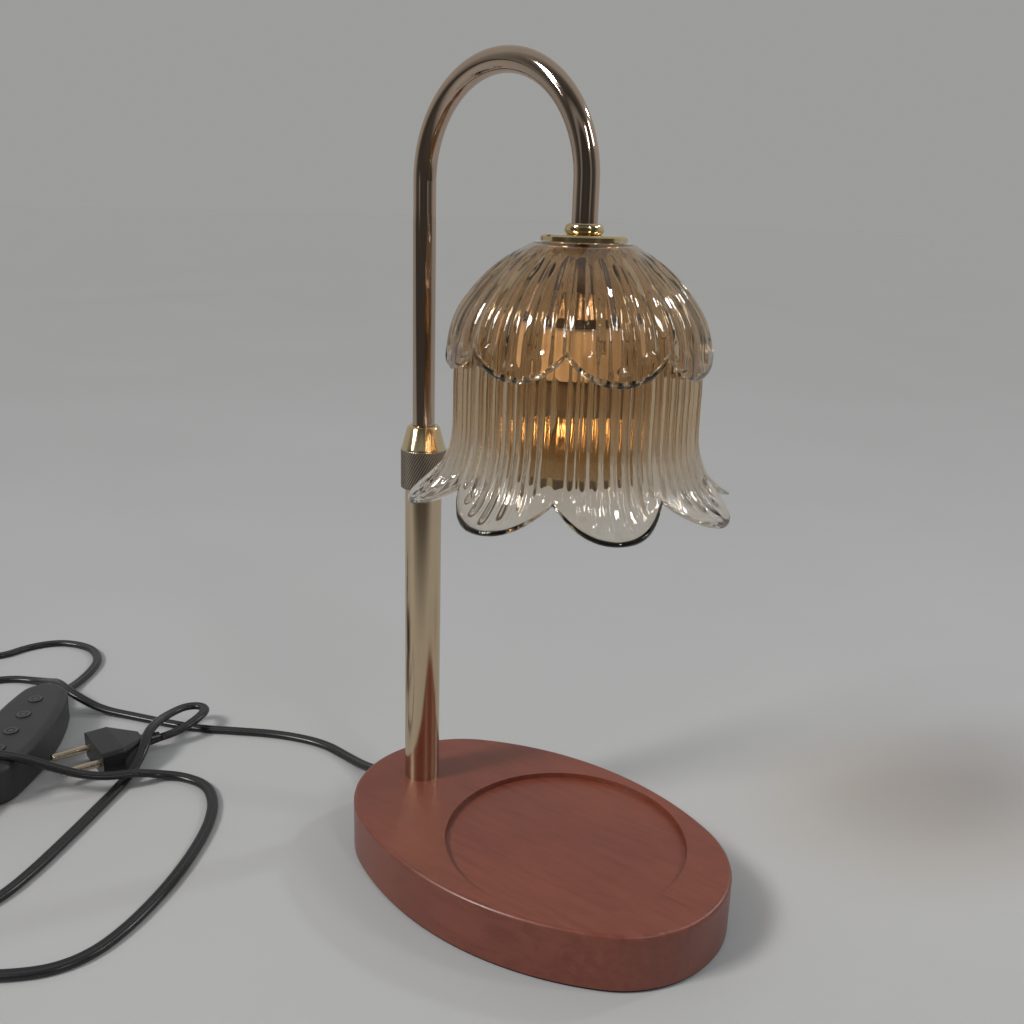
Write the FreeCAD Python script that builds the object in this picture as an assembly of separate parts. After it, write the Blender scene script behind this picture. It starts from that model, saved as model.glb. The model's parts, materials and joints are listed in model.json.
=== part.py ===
import FreeCAD, Part
import math
import os
from FreeCAD import Vector, Placement, Rotation

os.makedirs("parts", exist_ok=True)

# Driving dimensions in millimetres: fits shared by all pieces
FIT_GAP = 0.05
RUN_GAP = 0.08
LOOSE_GAP = 0.2

# Wooden base
BASE_LENGTH = 180.0
BASE_WIDTH = 120.0
BASE_END_RADIUS = 50.0
WOOD_HEIGHT = 24.0
WOOD_EDGE_ROUND = 1.8
PAD_THICKNESS = 1.5
PAD_INSET = 1.0
RECESS_INSET = 20.9
RECESS_RADIUS = 52.0
RECESS_DEPTH = 2.5
STEM_INSET = 24.8
CAVITY_RADIUS = 11.0
CAVITY_DEPTH = 17.0

# Cord outlet in the base and the clamp behind it
OUTLET_Y = 12.0
OUTLET_Z = 7.5
OUTLET_RADIUS = 4.0
OUTLET_WALL = 5.0
CHANNEL_WIDTH = 12.0
CHANNEL_HEIGHT = 12.0
GROMMET_FLANGE_RADIUS = 5.4
GROMMET_FLANGE_THICK = 1.5
GROMMET_PROUD = 4.2
GROMMET_BEVEL = 1.0
CLAMP_LENGTH = 20.0
CLAMP_WIDTH = 6.5
CLAMP_THICK = 2.4
CLAMP_SCREW_PITCH = 14.8
CLAMP_SCREW_RADIUS = 1.5
CLAMP_SCREW_HEAD_RADIUS = 2.6
CLAMP_SCREW_HEAD_THICK = 1.0
CLAMP_SCREW_LENGTH = 11.0
CLAMP_BACK = 2.0

# Stem fixing under the wood
NIPPLE_RADIUS = 4.9
NIPPLE_BORE = 3.5
NIPPLE_BELOW_NUT = 1.0
STEM_NUT_FLATS = 14.0
STEM_NUT_THICK = 5.0
WASHER_RADIUS = 8.0
WASHER_THICK = 1.5
TUBE_PLUG_HEIGHT = 12.0
NIPPLE_IN_PLUG = 9.5

# Lower tube and the clamping collet on its top
LOWER_TUBE_RADIUS = 8.0
LOWER_TUBE_WALL = 1.0
LOWER_TUBE_TOP = 172.0
COLLET_SPIGOT = 12.0
COLLET_FLANGE = 1.5
COLLET_THREAD_RADIUS = 7.4
COLLET_THREAD_LENGTH = 10.5
THREAD_PITCH = 1.0

# Lock nut and grip ring
NUT_RADIUS = 9.85
NUT_SKIRT = 5.0
NUT_KNURL_LENGTH = 17.0
NUT_TOTAL_LENGTH = 27.3
NUT_TOP_RADIUS = 6.6
NUT_GROOVE_DEPTH = 0.35
NUT_GROOVE_HEIGHT = 0.6
NUT_BEVEL = 0.5
GRIP_BORE_WIDE = 7.3
GRIP_BORE_NARROW = 5.3
GRIP_SEAT_LENGTH = 7.6
GRIP_RING_LENGTH = 5.5
GRIP_RING_LIFT = 0.4
GRIP_SLIT = 1.5
NUT_LIFT = 0.5
NUT_FLOOR_GAP = 0.3

# Bent upper tube
UPPER_TUBE_RADIUS = 4.75
UPPER_TUBE_WALL = 0.8
TUBE_OVERLAP = 35.0
BEND_START = 294.3
BEND_RADIUS = 42.4
ARM_TURN = -7.2
BUSH_LENGTH = 10.0
BUSH_ABOVE_END = 4.0
CLIP_THICK = 1.0
CLIP_RADIUS = 6.2
CLIP_GROOVE_DEPTH = 0.3
CLIP_OPENING = 4.45

# Shade hardware on the tube's threaded end
HOLDER_TOP = 256.0
DISC_RADIUS = 15.6
DISC_THICK = 1.5
DISC_RIM_DROP = 0.7
COLLAR_RADIUS = 7.1
COLLAR_HEIGHT = 3.9
COLLAR_ROUND = 1.0
GASKET_RADIUS = 12.5
GASKET_THICK = 0.9
SHADE_NUT_RADIUS = 9.5
SHADE_NUT_THICK = 4.0

# Glass shade: heights above the floor and outer radii
GLASS_TOP = 274.0
GLASS_WALL = 2.6
GLASS_TOP_THICK = 2.6
GLASS_LIP_THICK = 2.34
GLASS_LIP_OVERLAP = 1.04
GLASS_HOLE_RADIUS = 5.3
GLASS_PETALS = 8
DOME_SHOULDER_RADIUS = 17.5
GLASS_INNER_SHOULDER = 16.5
DOME_PROFILE = [(26.7, 268.8), (34.0, 263.0), (40.6, 255.6), (45.0, 248.8), (47.5, 241.5), (48.1, 235.0)]
DOME_LIP_RADIUS = 47.9
UPPER_NOTCH_Z = 239.6
UPPER_LOBE_Z = 230.0
UPPER_NOTCH_ANGLE = -62.0
BELL_PROFILE = [
    (44.9, 238.0), (45.5, 226.0), (45.5, 215.0), (45.8, 205.0), (47.6, 197.4), (51.0, 190.7), (56.2, 185.6),
]
BELL_TIP_RADIUS = 62.5
LOWER_NOTCH_Z = 191.0
LOWER_LOBE_Z = 181.0
LOWER_NOTCH_ANGLE = -64.4

# Lamp holder and bulb
CAP_RADIUS = 12.9
CAP_WALL = 0.8
CAP_CONE_HEIGHT = 9.0
CAP_SKIRT = 3.5
CAP_HUB_HEIGHT = 4.0
HOLDER_RADIUS = 12.0
HOLDER_HEIGHT = 25.5
HOLDER_HUB_GAP = 1.0
PIN_OFFSET = 5.0
PIN_NECK_RADIUS = 1.2
PIN_HEAD_RADIUS = 2.2
PIN_NECK_LENGTH = 4.0
PIN_HEAD_LENGTH = 3.0
SLOT_CLEARANCE = 0.35
SLOT_PLATE = 3.3
BULB_TWIST = 25.0
CONTACT_THICK = 1.0
BULB_SEAT_GAP = 0.3
BULB_BASE_RADIUS = 9.6
BULB_BASE_LENGTH = 13.0
BULB_NECK_RADIUS = 8.4
BULB_NECK_TAPER = 3.0
BULB_EDGE_BEVEL = 0.6
REFLECTOR_RADIUS = 17.4
REFLECTOR_WALL = 1.3
REFLECTOR_LENGTH = 24.5
REFLECTOR_PROFILE = [(11.2, 4.0), (14.6, 11.0), (16.6, 18.0), (17.4, 21.5)]
REFLECTOR_APEX_RADIUS = 3.8
LENS_THICK = 1.8
LENS_SINK = 0.8
CAPSULE_RADIUS = 3.4
CAPSULE_LENGTH = 13.0
CAPSULE_TIP_ROUND = 2.7

# Cord and inner lead
CORD_RADIUS = 2.3
LEAD_TOP = 41.0
LEAD_BEND = 5.0
LEAD_STRAIGHT = 1.0
ARC_SHARE = 0.45

# In-line dimmer lying on the floor
DIMMER_X = -266.4
DIMMER_Y = -89.9
DIMMER_TURN = -48.2
DIMMER_LENGTH = 98.0
DIMMER_WIDTH = 34.0
DIMMER_END_RADIUS = 13.0
DIMMER_HEIGHT = 20.0
DIMMER_SPLIT = 11.0
DIMMER_WALL = 2.0
DIMMER_EDGE_ROUND = 4.0
DIMMER_FOOT_ROUND = 2.5
BUTTON_PITCH = 17.8
BUTTON_COUNT = 4
BUTTON_RADIUS = 3.5
BUTTON_PROUD = 0.7
BUTTON_FLANGE = 4.7
BUTTON_FLANGE_THICK = 1.2
BUTTON_TRAVEL = 0.6
BUTTON_LIFT_GAP = 0.3
BUTTON_RING_DEPTH = 0.35
BUTTON_RING_OUTER = 2.1
BUTTON_RING_INNER = 1.58
BOARD_INSET = 3.0
BOARD_THICK = 1.6
BOARD_TOP = 10.6
SWITCH_SIDE = 6.0
SWITCH_HEIGHT = 3.0
SWITCH_STUD_RADIUS = 1.8
SWITCH_GAP = 0.1
BOSS_RADIUS = 3.2
BOSS_PITCH = 74.0
CASE_SCREW_RADIUS = 1.2
CASE_SCREW_HEAD = 2.3
CASE_SCREW_HEAD_THICK = 1.4
CASE_SCREW_SINK = 0.3
CASE_SCREW_TIP_GAP = 0.5
CASE_BORE_FLOOR = 1.0
RELIEF_LENGTH = 10.0
RELIEF_RADIUS = 3.8
RELIEF_END_RADIUS = 2.7
RELIEF_INSIDE = 3.5
RELIEF_Z = 6.0

# Plug lying on the floor
PLUG_CORD_X = -219.0
PLUG_CORD_Y = -38.5
PLUG_TURN = -105.0
PLUG_Z = 7.0
PLUG_FACE_WIDTH = 31.0
PLUG_FACE_HEIGHT = 14.0
PLUG_BODY_LENGTH = 24.0
PLUG_REAR_WIDTH = 12.0
PLUG_REAR_HEIGHT = 9.0
PLUG_TAPER_LENGTH = 13.0
PLUG_EDGE_ROUND = 2.5
PLUG_RELIEF_LENGTH = 10.0
PLUG_PIN_RADIUS = 2.0
PLUG_PIN_LENGTH = 19.0
PLUG_PIN_PITCH = 18.8
PLUG_PIN_ROOT = 6.0
PLUG_PIN_TIP_ROUND = 1.4

# Coil of the cord length that is put away
COIL_X = -403.0
COIL_Y = -92.0
COIL_RADIUS = 31.4
COIL_STEP = 2.8
COIL_HALF_TURNS = 2
COIL_LAYER = 5.1
COIL_TURN = 159.5
COIL_END_LENGTH = 4.6
CHECK_STEP = 1.5

# Heights and places that follow from the sizes above
UP = Vector(0, 0, 1)
ORIGIN = Vector(0, 0, 0)
WOOD_TOP = PAD_THICKNESS + WOOD_HEIGHT
STEM_X = STEM_INSET - BASE_LENGTH / 2
RECESS_X = BASE_LENGTH / 2 - RECESS_INSET - RECESS_RADIUS
UPPER_TUBE_BOTTOM = LOWER_TUBE_TOP - TUBE_OVERLAP
CAVITY_TOP = PAD_THICKNESS + CAVITY_DEPTH
LOWER_BORE = LOWER_TUBE_RADIUS - LOWER_TUBE_WALL
UPPER_BORE = UPPER_TUBE_RADIUS - UPPER_TUBE_WALL
ARM_DIR = Vector(math.cos(math.radians(ARM_TURN)), math.sin(math.radians(ARM_TURN)), 0)
STEM = Vector(STEM_X, 0, 0)
SHADE = STEM + ARM_DIR * (2 * BEND_RADIUS)
COLLET_TOP = LOWER_TUBE_TOP + COLLET_FLANGE + COLLET_THREAD_LENGTH
NUT_BOTTOM = LOWER_TUBE_TOP - NUT_SKIRT
NUT_THREAD_START = LOWER_TUBE_TOP + COLLET_FLANGE + NUT_FLOOR_GAP
GRIP_SEAT_START = COLLET_TOP + NUT_LIFT
HOLDER_FACE = HOLDER_TOP - CAP_HUB_HEIGHT - HOLDER_HUB_GAP - HOLDER_HEIGHT
HOLDER_BACK = HOLDER_FACE + HOLDER_HEIGHT
BULB_TOP = HOLDER_FACE - BULB_SEAT_GAP
REFLECTOR_TOP = BULB_TOP - BULB_BASE_LENGTH
REFLECTOR_BOTTOM = REFLECTOR_TOP - REFLECTOR_LENGTH
DIMMER_PLACE = Placement(Vector(DIMMER_X, DIMMER_Y, 0), Rotation(UP, DIMMER_TURN))
PLUG_PLACE = Placement(Vector(PLUG_CORD_X, PLUG_CORD_Y, PLUG_Z), Rotation(UP, PLUG_TURN))

# The outlet's inner end, where the wood is OUTLET_WALL thick, and the clamp behind it
END_CENTRE_X = BASE_LENGTH / 2 - BASE_END_RADIUS
OUTLET_OUT_X = -END_CENTRE_X - math.sqrt(BASE_END_RADIUS**2 - OUTLET_Y**2)
WALL_IN_X = OUTLET_OUT_X + OUTLET_WALL
CLAMP_X = WALL_IN_X + CLAMP_BACK
CLAMP_MID_X = CLAMP_X + CLAMP_WIDTH / 2
CLAMP_TOP = OUTLET_Z - CORD_RADIUS
CLAMP_SCREWS_Y = [OUTLET_Y - CLAMP_SCREW_PITCH / 2, OUTLET_Y + CLAMP_SCREW_PITCH / 2]
GROMMET_FACE = Vector(OUTLET_OUT_X - GROMMET_PROUD, OUTLET_Y, OUTLET_Z)

pieces = {}


def at(point, z):
    return Vector(point.x, point.y, z)


def cylinder(radius, bottom, top, centre=ORIGIN):
    return Part.makeCylinder(radius, top - bottom, at(centre, bottom), UP)


def ring(outer, inner, bottom, top, centre=ORIGIN):
    return cylinder(outer, bottom, top, centre).cut(cylinder(inner, bottom, top, centre))


def cone(bottom_radius, top_radius, bottom, top, centre=ORIGIN):
    return Part.makeCone(bottom_radius, top_radius, top - bottom, at(centre, bottom), UP)


def box(x0, x1, y0, y1, z0, z1):
    return Part.makeBox(x1 - x0, y1 - y0, z1 - z0, Vector(x0, y0, z0))


def hexagon(flats, bottom, top, centre):
    corner = flats / math.sqrt(3)
    points = [
        at(centre + Rotation(UP, angle).multVec(Vector(corner, 0, 0)), bottom) for angle in range(0, 361, 60)
    ]
    return Part.Face(Part.makePolygon(points)).extrude(Vector(0, 0, top - bottom))


def revolve(edges_or_points, centre=ORIGIN):
    if isinstance(edges_or_points[0], tuple):
        points = [Vector(r, 0, z) for r, z in edges_or_points]
        wire = Part.makePolygon(points + points[:1])
    else:
        wire = Part.Wire(edges_or_points)
    solid = Part.Face(wire).revolve(ORIGIN, UP, 360)
    solid.translate(Vector(centre.x, centre.y, 0))
    return solid


# An oval of four arcs: two end arcs and two long side arcs that meet them
def oval_face(length, width, end_radius, z):
    a, b, r = length / 2, width / 2, end_radius
    drop = ((a - r) ** 2 - (b - r) ** 2) / (2 * (b - r))
    side = b + drop
    turn = math.atan2(drop, a - r)
    end_x = a - r + r * math.cos(turn)
    end_y = r * math.sin(turn)
    corners = [Vector(x, y, z) for x, y in ((end_x, -end_y), (end_x, end_y), (-end_x, end_y), (-end_x, -end_y))]
    middles = [Vector(a, 0, z), Vector(0, side - drop, z), Vector(-a, 0, z), Vector(0, drop - side, z)]
    edges = [Part.Arc(corners[i], middles[i], corners[(i + 1) % 4]).toShape() for i in range(4)]
    return Part.Face(Part.Wire(edges))


def oval(length, width, end_radius, bottom, top):
    return oval_face(length, width, end_radius, bottom).extrude(Vector(0, 0, top - bottom))


def edges_at(shape, z):
    return [e for e in shape.Edges if abs(e.BoundBox.ZMin - z) < 1e-4 and abs(e.BoundBox.ZMax - z) < 1e-4]


def group(solids):
    return Part.makeCompound(solids)


# Wooden block with the jar recess, the stem hole and the hollow underneath
def make_base():
    block = oval(BASE_LENGTH, BASE_WIDTH, BASE_END_RADIUS, PAD_THICKNESS, WOOD_TOP)
    block = block.makeFillet(WOOD_EDGE_ROUND, edges_at(block, WOOD_TOP))
    block = block.cut(cylinder(RECESS_RADIUS, WOOD_TOP - RECESS_DEPTH, WOOD_TOP, Vector(RECESS_X, 0, 0)))
    block = block.cut(cylinder(CAVITY_RADIUS, PAD_THICKNESS, CAVITY_TOP, STEM))
    block = block.cut(cylinder(NIPPLE_RADIUS + LOOSE_GAP, CAVITY_TOP, WOOD_TOP, STEM))
    half = CHANNEL_WIDTH / 2
    block = block.cut(
        box(WALL_IN_X, STEM_X, OUTLET_Y - half, OUTLET_Y + half, PAD_THICKNESS, PAD_THICKNESS + CHANNEL_HEIGHT)
    )
    bore = Part.makeCylinder(
        OUTLET_RADIUS, 2 * OUTLET_WALL, Vector(WALL_IN_X - 2 * OUTLET_WALL, OUTLET_Y, OUTLET_Z), Vector(1, 0, 0)
    )
    block = block.cut(bore)
    reach = CLAMP_LENGTH / 2 + LOOSE_GAP
    pocket = box(
        CLAMP_X - LOOSE_GAP,
        CLAMP_X + CLAMP_WIDTH + LOOSE_GAP,
        OUTLET_Y - reach,
        OUTLET_Y + reach,
        PAD_THICKNESS,
        CLAMP_TOP,
    )
    block = block.cut(pocket)
    for y in CLAMP_SCREWS_Y:
        block = block.cut(
            cylinder(CLAMP_SCREW_RADIUS, CLAMP_TOP, CLAMP_TOP + CLAMP_SCREW_LENGTH, Vector(CLAMP_MID_X, y, 0))
        )
    pad = oval(
        BASE_LENGTH - 2 * PAD_INSET, BASE_WIDTH - 2 * PAD_INSET, BASE_END_RADIUS - PAD_INSET, 0, PAD_THICKNESS
    )
    pieces["base_block"] = block
    pieces["base_pad"] = pad


def make_outlet():
    along = Vector(1, 0, 0)
    outside = OUTLET_RADIUS - FIT_GAP
    length = WALL_IN_X - GROMMET_FACE.x
    body = Part.makeCylinder(outside, length, GROMMET_FACE, along)
    lip = Part.makeCylinder(
        GROMMET_FLANGE_RADIUS, GROMMET_FLANGE_THICK, Vector(WALL_IN_X, OUTLET_Y, OUTLET_Z), along
    )
    bore = Part.makeCylinder(
        CORD_RADIUS + FIT_GAP, length + GROMMET_FLANGE_THICK, GROMMET_FACE, along
    )
    nose = body.fuse(lip).removeSplitter()
    rim = [e for e in nose.Edges if e.BoundBox.XMax < GROMMET_FACE.x + 1e-3]
    pieces["cord_grommet"] = nose.makeChamfer(GROMMET_BEVEL, rim).cut(bore)
    reach = CLAMP_LENGTH / 2
    bar = box(
        CLAMP_X, CLAMP_X + CLAMP_WIDTH, OUTLET_Y - reach, OUTLET_Y + reach, CLAMP_TOP - CLAMP_THICK, CLAMP_TOP
    )
    screws = []
    for y in CLAMP_SCREWS_Y:
        centre = Vector(CLAMP_MID_X, y, 0)
        bar = bar.cut(cylinder(CLAMP_SCREW_RADIUS, CLAMP_TOP - CLAMP_THICK, CLAMP_TOP, centre))
        head_top = CLAMP_TOP - CLAMP_THICK
        shank = cylinder(
            CLAMP_SCREW_RADIUS - FIT_GAP, head_top, CLAMP_TOP + CLAMP_SCREW_LENGTH - LOOSE_GAP, centre
        )
        head = cylinder(CLAMP_SCREW_HEAD_RADIUS, head_top - CLAMP_SCREW_HEAD_THICK, head_top, centre)
        screws.append(head.fuse(shank).removeSplitter())
    pieces["cord_clamp"] = bar
    pieces["cord_clamp_screws"] = group(screws)


# Threaded nipple, washer and nut that hold the lower tube on the wood
def make_stem_fixing():
    washer_bottom = CAVITY_TOP - WASHER_THICK
    nut_bottom = washer_bottom - STEM_NUT_THICK
    nipple_top = WOOD_TOP + NIPPLE_IN_PLUG
    bore = NIPPLE_RADIUS + FIT_GAP
    pieces["stem_washer"] = ring(WASHER_RADIUS, bore, washer_bottom, CAVITY_TOP, STEM)
    nut = hexagon(STEM_NUT_FLATS, nut_bottom, washer_bottom, STEM)
    pieces["stem_nut"] = nut.cut(cylinder(bore, nut_bottom, washer_bottom, STEM))
    pieces["stem_nipple"] = ring(NIPPLE_RADIUS, NIPPLE_BORE, nut_bottom - NIPPLE_BELOW_NUT, nipple_top, STEM)
    plug = ring(LOWER_BORE - FIT_GAP, NIPPLE_BORE, WOOD_TOP, WOOD_TOP + TUBE_PLUG_HEIGHT, STEM)
    pieces["tube_plug"] = plug.cut(cylinder(bore, WOOD_TOP, nipple_top, STEM))
    pieces["lower_tube"] = ring(LOWER_TUBE_RADIUS, LOWER_BORE, WOOD_TOP, LOWER_TUBE_TOP, STEM)


# Brass collet body, nylon grip ring and the knurled nut that squeezes it
def make_lock():
    bore = UPPER_TUBE_RADIUS + RUN_GAP
    spigot_bottom = LOWER_TUBE_TOP - COLLET_SPIGOT
    flange_top = LOWER_TUBE_TOP + COLLET_FLANGE
    collet = cylinder(LOWER_BORE - FIT_GAP, spigot_bottom, LOWER_TUBE_TOP, STEM)
    collet = collet.fuse(cylinder(LOWER_TUBE_RADIUS, LOWER_TUBE_TOP, flange_top, STEM))
    collet = collet.fuse(cylinder(COLLET_THREAD_RADIUS, flange_top, COLLET_TOP, STEM))
    collet = collet.removeSplitter().cut(cylinder(bore, spigot_bottom, COLLET_TOP, STEM))
    pieces["collet_body"] = collet

    seat_end = GRIP_SEAT_START + GRIP_SEAT_LENGTH
    slope = (GRIP_BORE_NARROW - GRIP_BORE_WIDE) / GRIP_SEAT_LENGTH
    ring_bottom = GRIP_SEAT_START + GRIP_RING_LIFT
    ring_top = ring_bottom + GRIP_RING_LENGTH
    low = GRIP_BORE_WIDE + slope * (ring_bottom - GRIP_SEAT_START) - RUN_GAP
    high = GRIP_BORE_WIDE + slope * (ring_top - GRIP_SEAT_START) - RUN_GAP
    grip = cone(low, high, ring_bottom, ring_top, STEM)
    grip = grip.cut(cylinder(bore, ring_bottom, ring_top, STEM))
    slit = box(STEM_X, STEM_X + 2 * low, -GRIP_SLIT / 2, GRIP_SLIT / 2, ring_bottom, ring_top)
    pieces["grip_ring"] = grip.cut(slit)

    knurl_top = NUT_BOTTOM + NUT_KNURL_LENGTH
    nut_top = NUT_BOTTOM + NUT_TOTAL_LENGTH
    groove = NUT_RADIUS - NUT_GROOVE_DEPTH
    outline = [
        (LOWER_TUBE_RADIUS + LOOSE_GAP, NUT_BOTTOM),
        (NUT_RADIUS - NUT_BEVEL, NUT_BOTTOM),
        (NUT_RADIUS, NUT_BOTTOM + NUT_BEVEL),
        (NUT_RADIUS, knurl_top),
        (groove, knurl_top),
        (groove, knurl_top + NUT_GROOVE_HEIGHT),
        (NUT_TOP_RADIUS, nut_top - NUT_BEVEL),
        (NUT_TOP_RADIUS - NUT_BEVEL, nut_top),
        (UPPER_TUBE_RADIUS + LOOSE_GAP, nut_top),
        (UPPER_TUBE_RADIUS + LOOSE_GAP, seat_end),
        (GRIP_BORE_NARROW, seat_end),
        (GRIP_BORE_WIDE, GRIP_SEAT_START),
        (COLLET_THREAD_RADIUS + RUN_GAP, GRIP_SEAT_START),
        (COLLET_THREAD_RADIUS + RUN_GAP, NUT_THREAD_START),
        (LOWER_TUBE_RADIUS + LOOSE_GAP, NUT_THREAD_START),
    ]
    pieces["lock_nut"] = revolve(outline, STEM)


# Bent tube path from the lower end over the bend down to a chosen height
def arm_path(bottom, end):
    middle = STEM + ARM_DIR * BEND_RADIUS
    start = Part.LineSegment(at(STEM, bottom), at(STEM, BEND_START)).toShape()
    arch = Part.Arc(at(STEM, BEND_START), at(middle, BEND_START + BEND_RADIUS), at(SHADE, BEND_START)).toShape()
    last = Part.LineSegment(at(SHADE, BEND_START), at(SHADE, end)).toShape()
    return Part.Wire([start, arch, last])


def swept(path, radius, start, direction):
    section = Part.Wire([Part.Circle(start, direction, radius).toShape()])
    return path.makePipeShell([section], True, False)


def make_arm():
    start = at(STEM, UPPER_TUBE_BOTTOM)
    path = arm_path(UPPER_TUBE_BOTTOM, HOLDER_TOP)
    outer = swept(path, UPPER_TUBE_RADIUS, start, UP)
    inner = swept(path, UPPER_BORE, start, UP)
    tube = outer.cut(inner)
    bush_bottom = UPPER_TUBE_BOTTOM + BUSH_ABOVE_END
    bush_top = bush_bottom + BUSH_LENGTH
    running = UPPER_TUBE_RADIUS + RUN_GAP
    pieces["guide_bush"] = ring(LOWER_BORE - RUN_GAP, running, bush_bottom, bush_top, STEM)
    groove_radius = UPPER_TUBE_RADIUS - CLIP_GROOVE_DEPTH
    clips = []
    for z in (bush_bottom - CLIP_THICK - LOOSE_GAP, bush_top + LOOSE_GAP):
        tube = tube.cut(ring(CLIP_RADIUS, groove_radius, z, z + CLIP_THICK, STEM))
        clip = ring(CLIP_RADIUS, groove_radius, z, z + CLIP_THICK, STEM)
        gap = box(STEM_X, STEM_X + 2 * CLIP_RADIUS, -CLIP_OPENING / 2, CLIP_OPENING / 2, z, z + CLIP_THICK)
        clips.append(clip.cut(gap))
    pieces["upper_tube"] = tube
    pieces["bush_clips"] = group(clips)


# Round collar, disc and gaskets above and below the glass, and the nut under it
def make_shade_fixing():
    bore = UPPER_TUBE_RADIUS + FIT_GAP
    disc_bottom = GLASS_TOP + GASKET_THICK
    disc_top = disc_bottom + DISC_THICK
    collar_top = disc_top + COLLAR_HEIGHT
    half = COLLAR_HEIGHT / 2
    land = COLLAR_RADIUS - COLLAR_ROUND
    profile = [
        Part.LineSegment(Vector(bore, 0, disc_top), Vector(land, 0, disc_top)).toShape(),
        Part.Arc(
            Vector(land, 0, disc_top),
            Vector(COLLAR_RADIUS, 0, disc_top + half),
            Vector(land, 0, collar_top),
        ).toShape(),
        Part.LineSegment(Vector(land, 0, collar_top), Vector(bore, 0, collar_top)).toShape(),
        Part.LineSegment(Vector(bore, 0, collar_top), Vector(bore, 0, disc_top)).toShape(),
    ]
    pieces["neck_collar"] = revolve(profile, SHADE)
    pieces["cover_disc"] = revolve(
        [
            (bore, disc_bottom),
            (DISC_RADIUS - DISC_THICK, disc_bottom),
            (DISC_RADIUS - DISC_THICK, disc_bottom - DISC_RIM_DROP),
            (DISC_RADIUS, disc_bottom - DISC_RIM_DROP),
            (DISC_RADIUS, disc_top - DISC_RIM_DROP),
            (DISC_RADIUS - DISC_RIM_DROP, disc_top),
            (bore, disc_top),
        ],
        SHADE,
    )
    under = GLASS_TOP - GLASS_TOP_THICK
    pieces["upper_gasket"] = ring(GASKET_RADIUS, bore, GLASS_TOP, disc_bottom, SHADE)
    pieces["lower_gasket"] = ring(GASKET_RADIUS, bore, under - GASKET_THICK, under, SHADE)
    nut_top = under - GASKET_THICK
    nut = hexagon(2 * SHADE_NUT_RADIUS, nut_top - SHADE_NUT_THICK, nut_top, SHADE)
    pieces["shade_nut"] = nut.cut(cylinder(bore, nut_top - SHADE_NUT_THICK, nut_top, SHADE))


# Points of a profile moved square to itself, into the glass
def inset(points, depth):
    moved = []
    for i, (r, z) in enumerate(points):
        r0, z0 = points[max(i - 1, 0)]
        r1, z1 = points[min(i + 1, len(points) - 1)]
        length = math.hypot(r1 - r0, z1 - z0)
        moved.append((r + depth * (z1 - z0) / length, z - depth * (r1 - r0) / length))
    return moved


def curve_through(points):
    spline = Part.BSplineCurve()
    spline.interpolate([Vector(r, 0, z) for r, z in points])
    return spline.toShape()


def line(p, q):
    return Part.LineSegment(Vector(p[0], 0, p[1]), Vector(q[0], 0, q[1])).toShape()


# A prism that opens a pointed notch between two petals, their edges being arcs
def notch(angle, apex_z, lobe_z, tip_radius):
    inner_radius = tip_radius / 2
    half = tip_radius * math.sin(math.pi / GLASS_PETALS)
    rise = apex_z - lobe_z
    arc_radius = (half**2 + rise**2) / (2 * rise)
    turn = math.asin(half / arc_radius) / 2
    mid = Vector(inner_radius, half - arc_radius * math.sin(turn), lobe_z + arc_radius * (1 - math.cos(turn)))
    apex = Vector(inner_radius, 0, apex_z)
    right = Vector(inner_radius, half, lobe_z)
    left = Vector(inner_radius, -half, lobe_z)
    mirrored = Vector(mid.x, -mid.y, mid.z)
    below = Vector(0, 0, -2 * rise)
    edges = [
        Part.Arc(apex, mid, right).toShape(),
        Part.LineSegment(right, right + below).toShape(),
        Part.LineSegment(right + below, left + below).toShape(),
        Part.LineSegment(left + below, left).toShape(),
        Part.Arc(left, mirrored, apex).toShape(),
    ]
    prism = Part.Face(Part.Wire(edges)).extrude(Vector(2 * tip_radius, 0, 0))
    prism.rotate(ORIGIN, UP, angle)
    return prism


def notches(first, apex_z, lobe_z, tip_radius):
    step = 360.0 / GLASS_PETALS
    return [notch(first + i * step, apex_z, lobe_z, tip_radius) for i in range(GLASS_PETALS)]


def make_shade():
    shoulder = (DOME_SHOULDER_RADIUS, GLASS_TOP)
    dome = [shoulder] + DOME_PROFILE + [(DOME_LIP_RADIUS, UPPER_LOBE_Z)]
    under_dome = inset(dome, GLASS_LIP_THICK)[1:-2]
    bell = [shoulder] + under_dome + BELL_PROFILE + [(BELL_TIP_RADIUS, LOWER_LOBE_Z)]
    inner = inset(bell, GLASS_WALL)[1:]
    under = GLASS_TOP - GLASS_TOP_THICK
    inner_top = (GLASS_INNER_SHOULDER, under)
    hole_top = (GLASS_HOLE_RADIUS, GLASS_TOP)
    hole_low = (GLASS_HOLE_RADIUS, under)
    shell = [
        line(hole_top, shoulder),
        curve_through(bell),
        line(bell[-1], inner[-1]),
        curve_through(list(reversed(inner)) + [inner_top]),
        line(inner_top, hole_low),
        line(hole_low, hole_top),
    ]
    glass = revolve(shell)
    for cutter in notches(LOWER_NOTCH_ANGLE, LOWER_NOTCH_Z, LOWER_LOBE_Z, BELL_TIP_RADIUS):
        glass = glass.cut(cutter)
    skirt_inner = inset(dome, GLASS_LIP_THICK + GLASS_LIP_OVERLAP)
    skirt = [
        curve_through(dome[1:]),
        line(dome[-1], skirt_inner[-1]),
        curve_through(list(reversed(skirt_inner[1:]))),
        line(skirt_inner[1], dome[1]),
    ]
    petals = revolve(skirt)
    for cutter in notches(UPPER_NOTCH_ANGLE, UPPER_NOTCH_Z, UPPER_LOBE_Z, DOME_LIP_RADIUS):
        petals = petals.cut(cutter)
    glass = glass.fuse(petals)
    glass.translate(SHADE)
    pieces["glass_shade"] = glass


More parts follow.
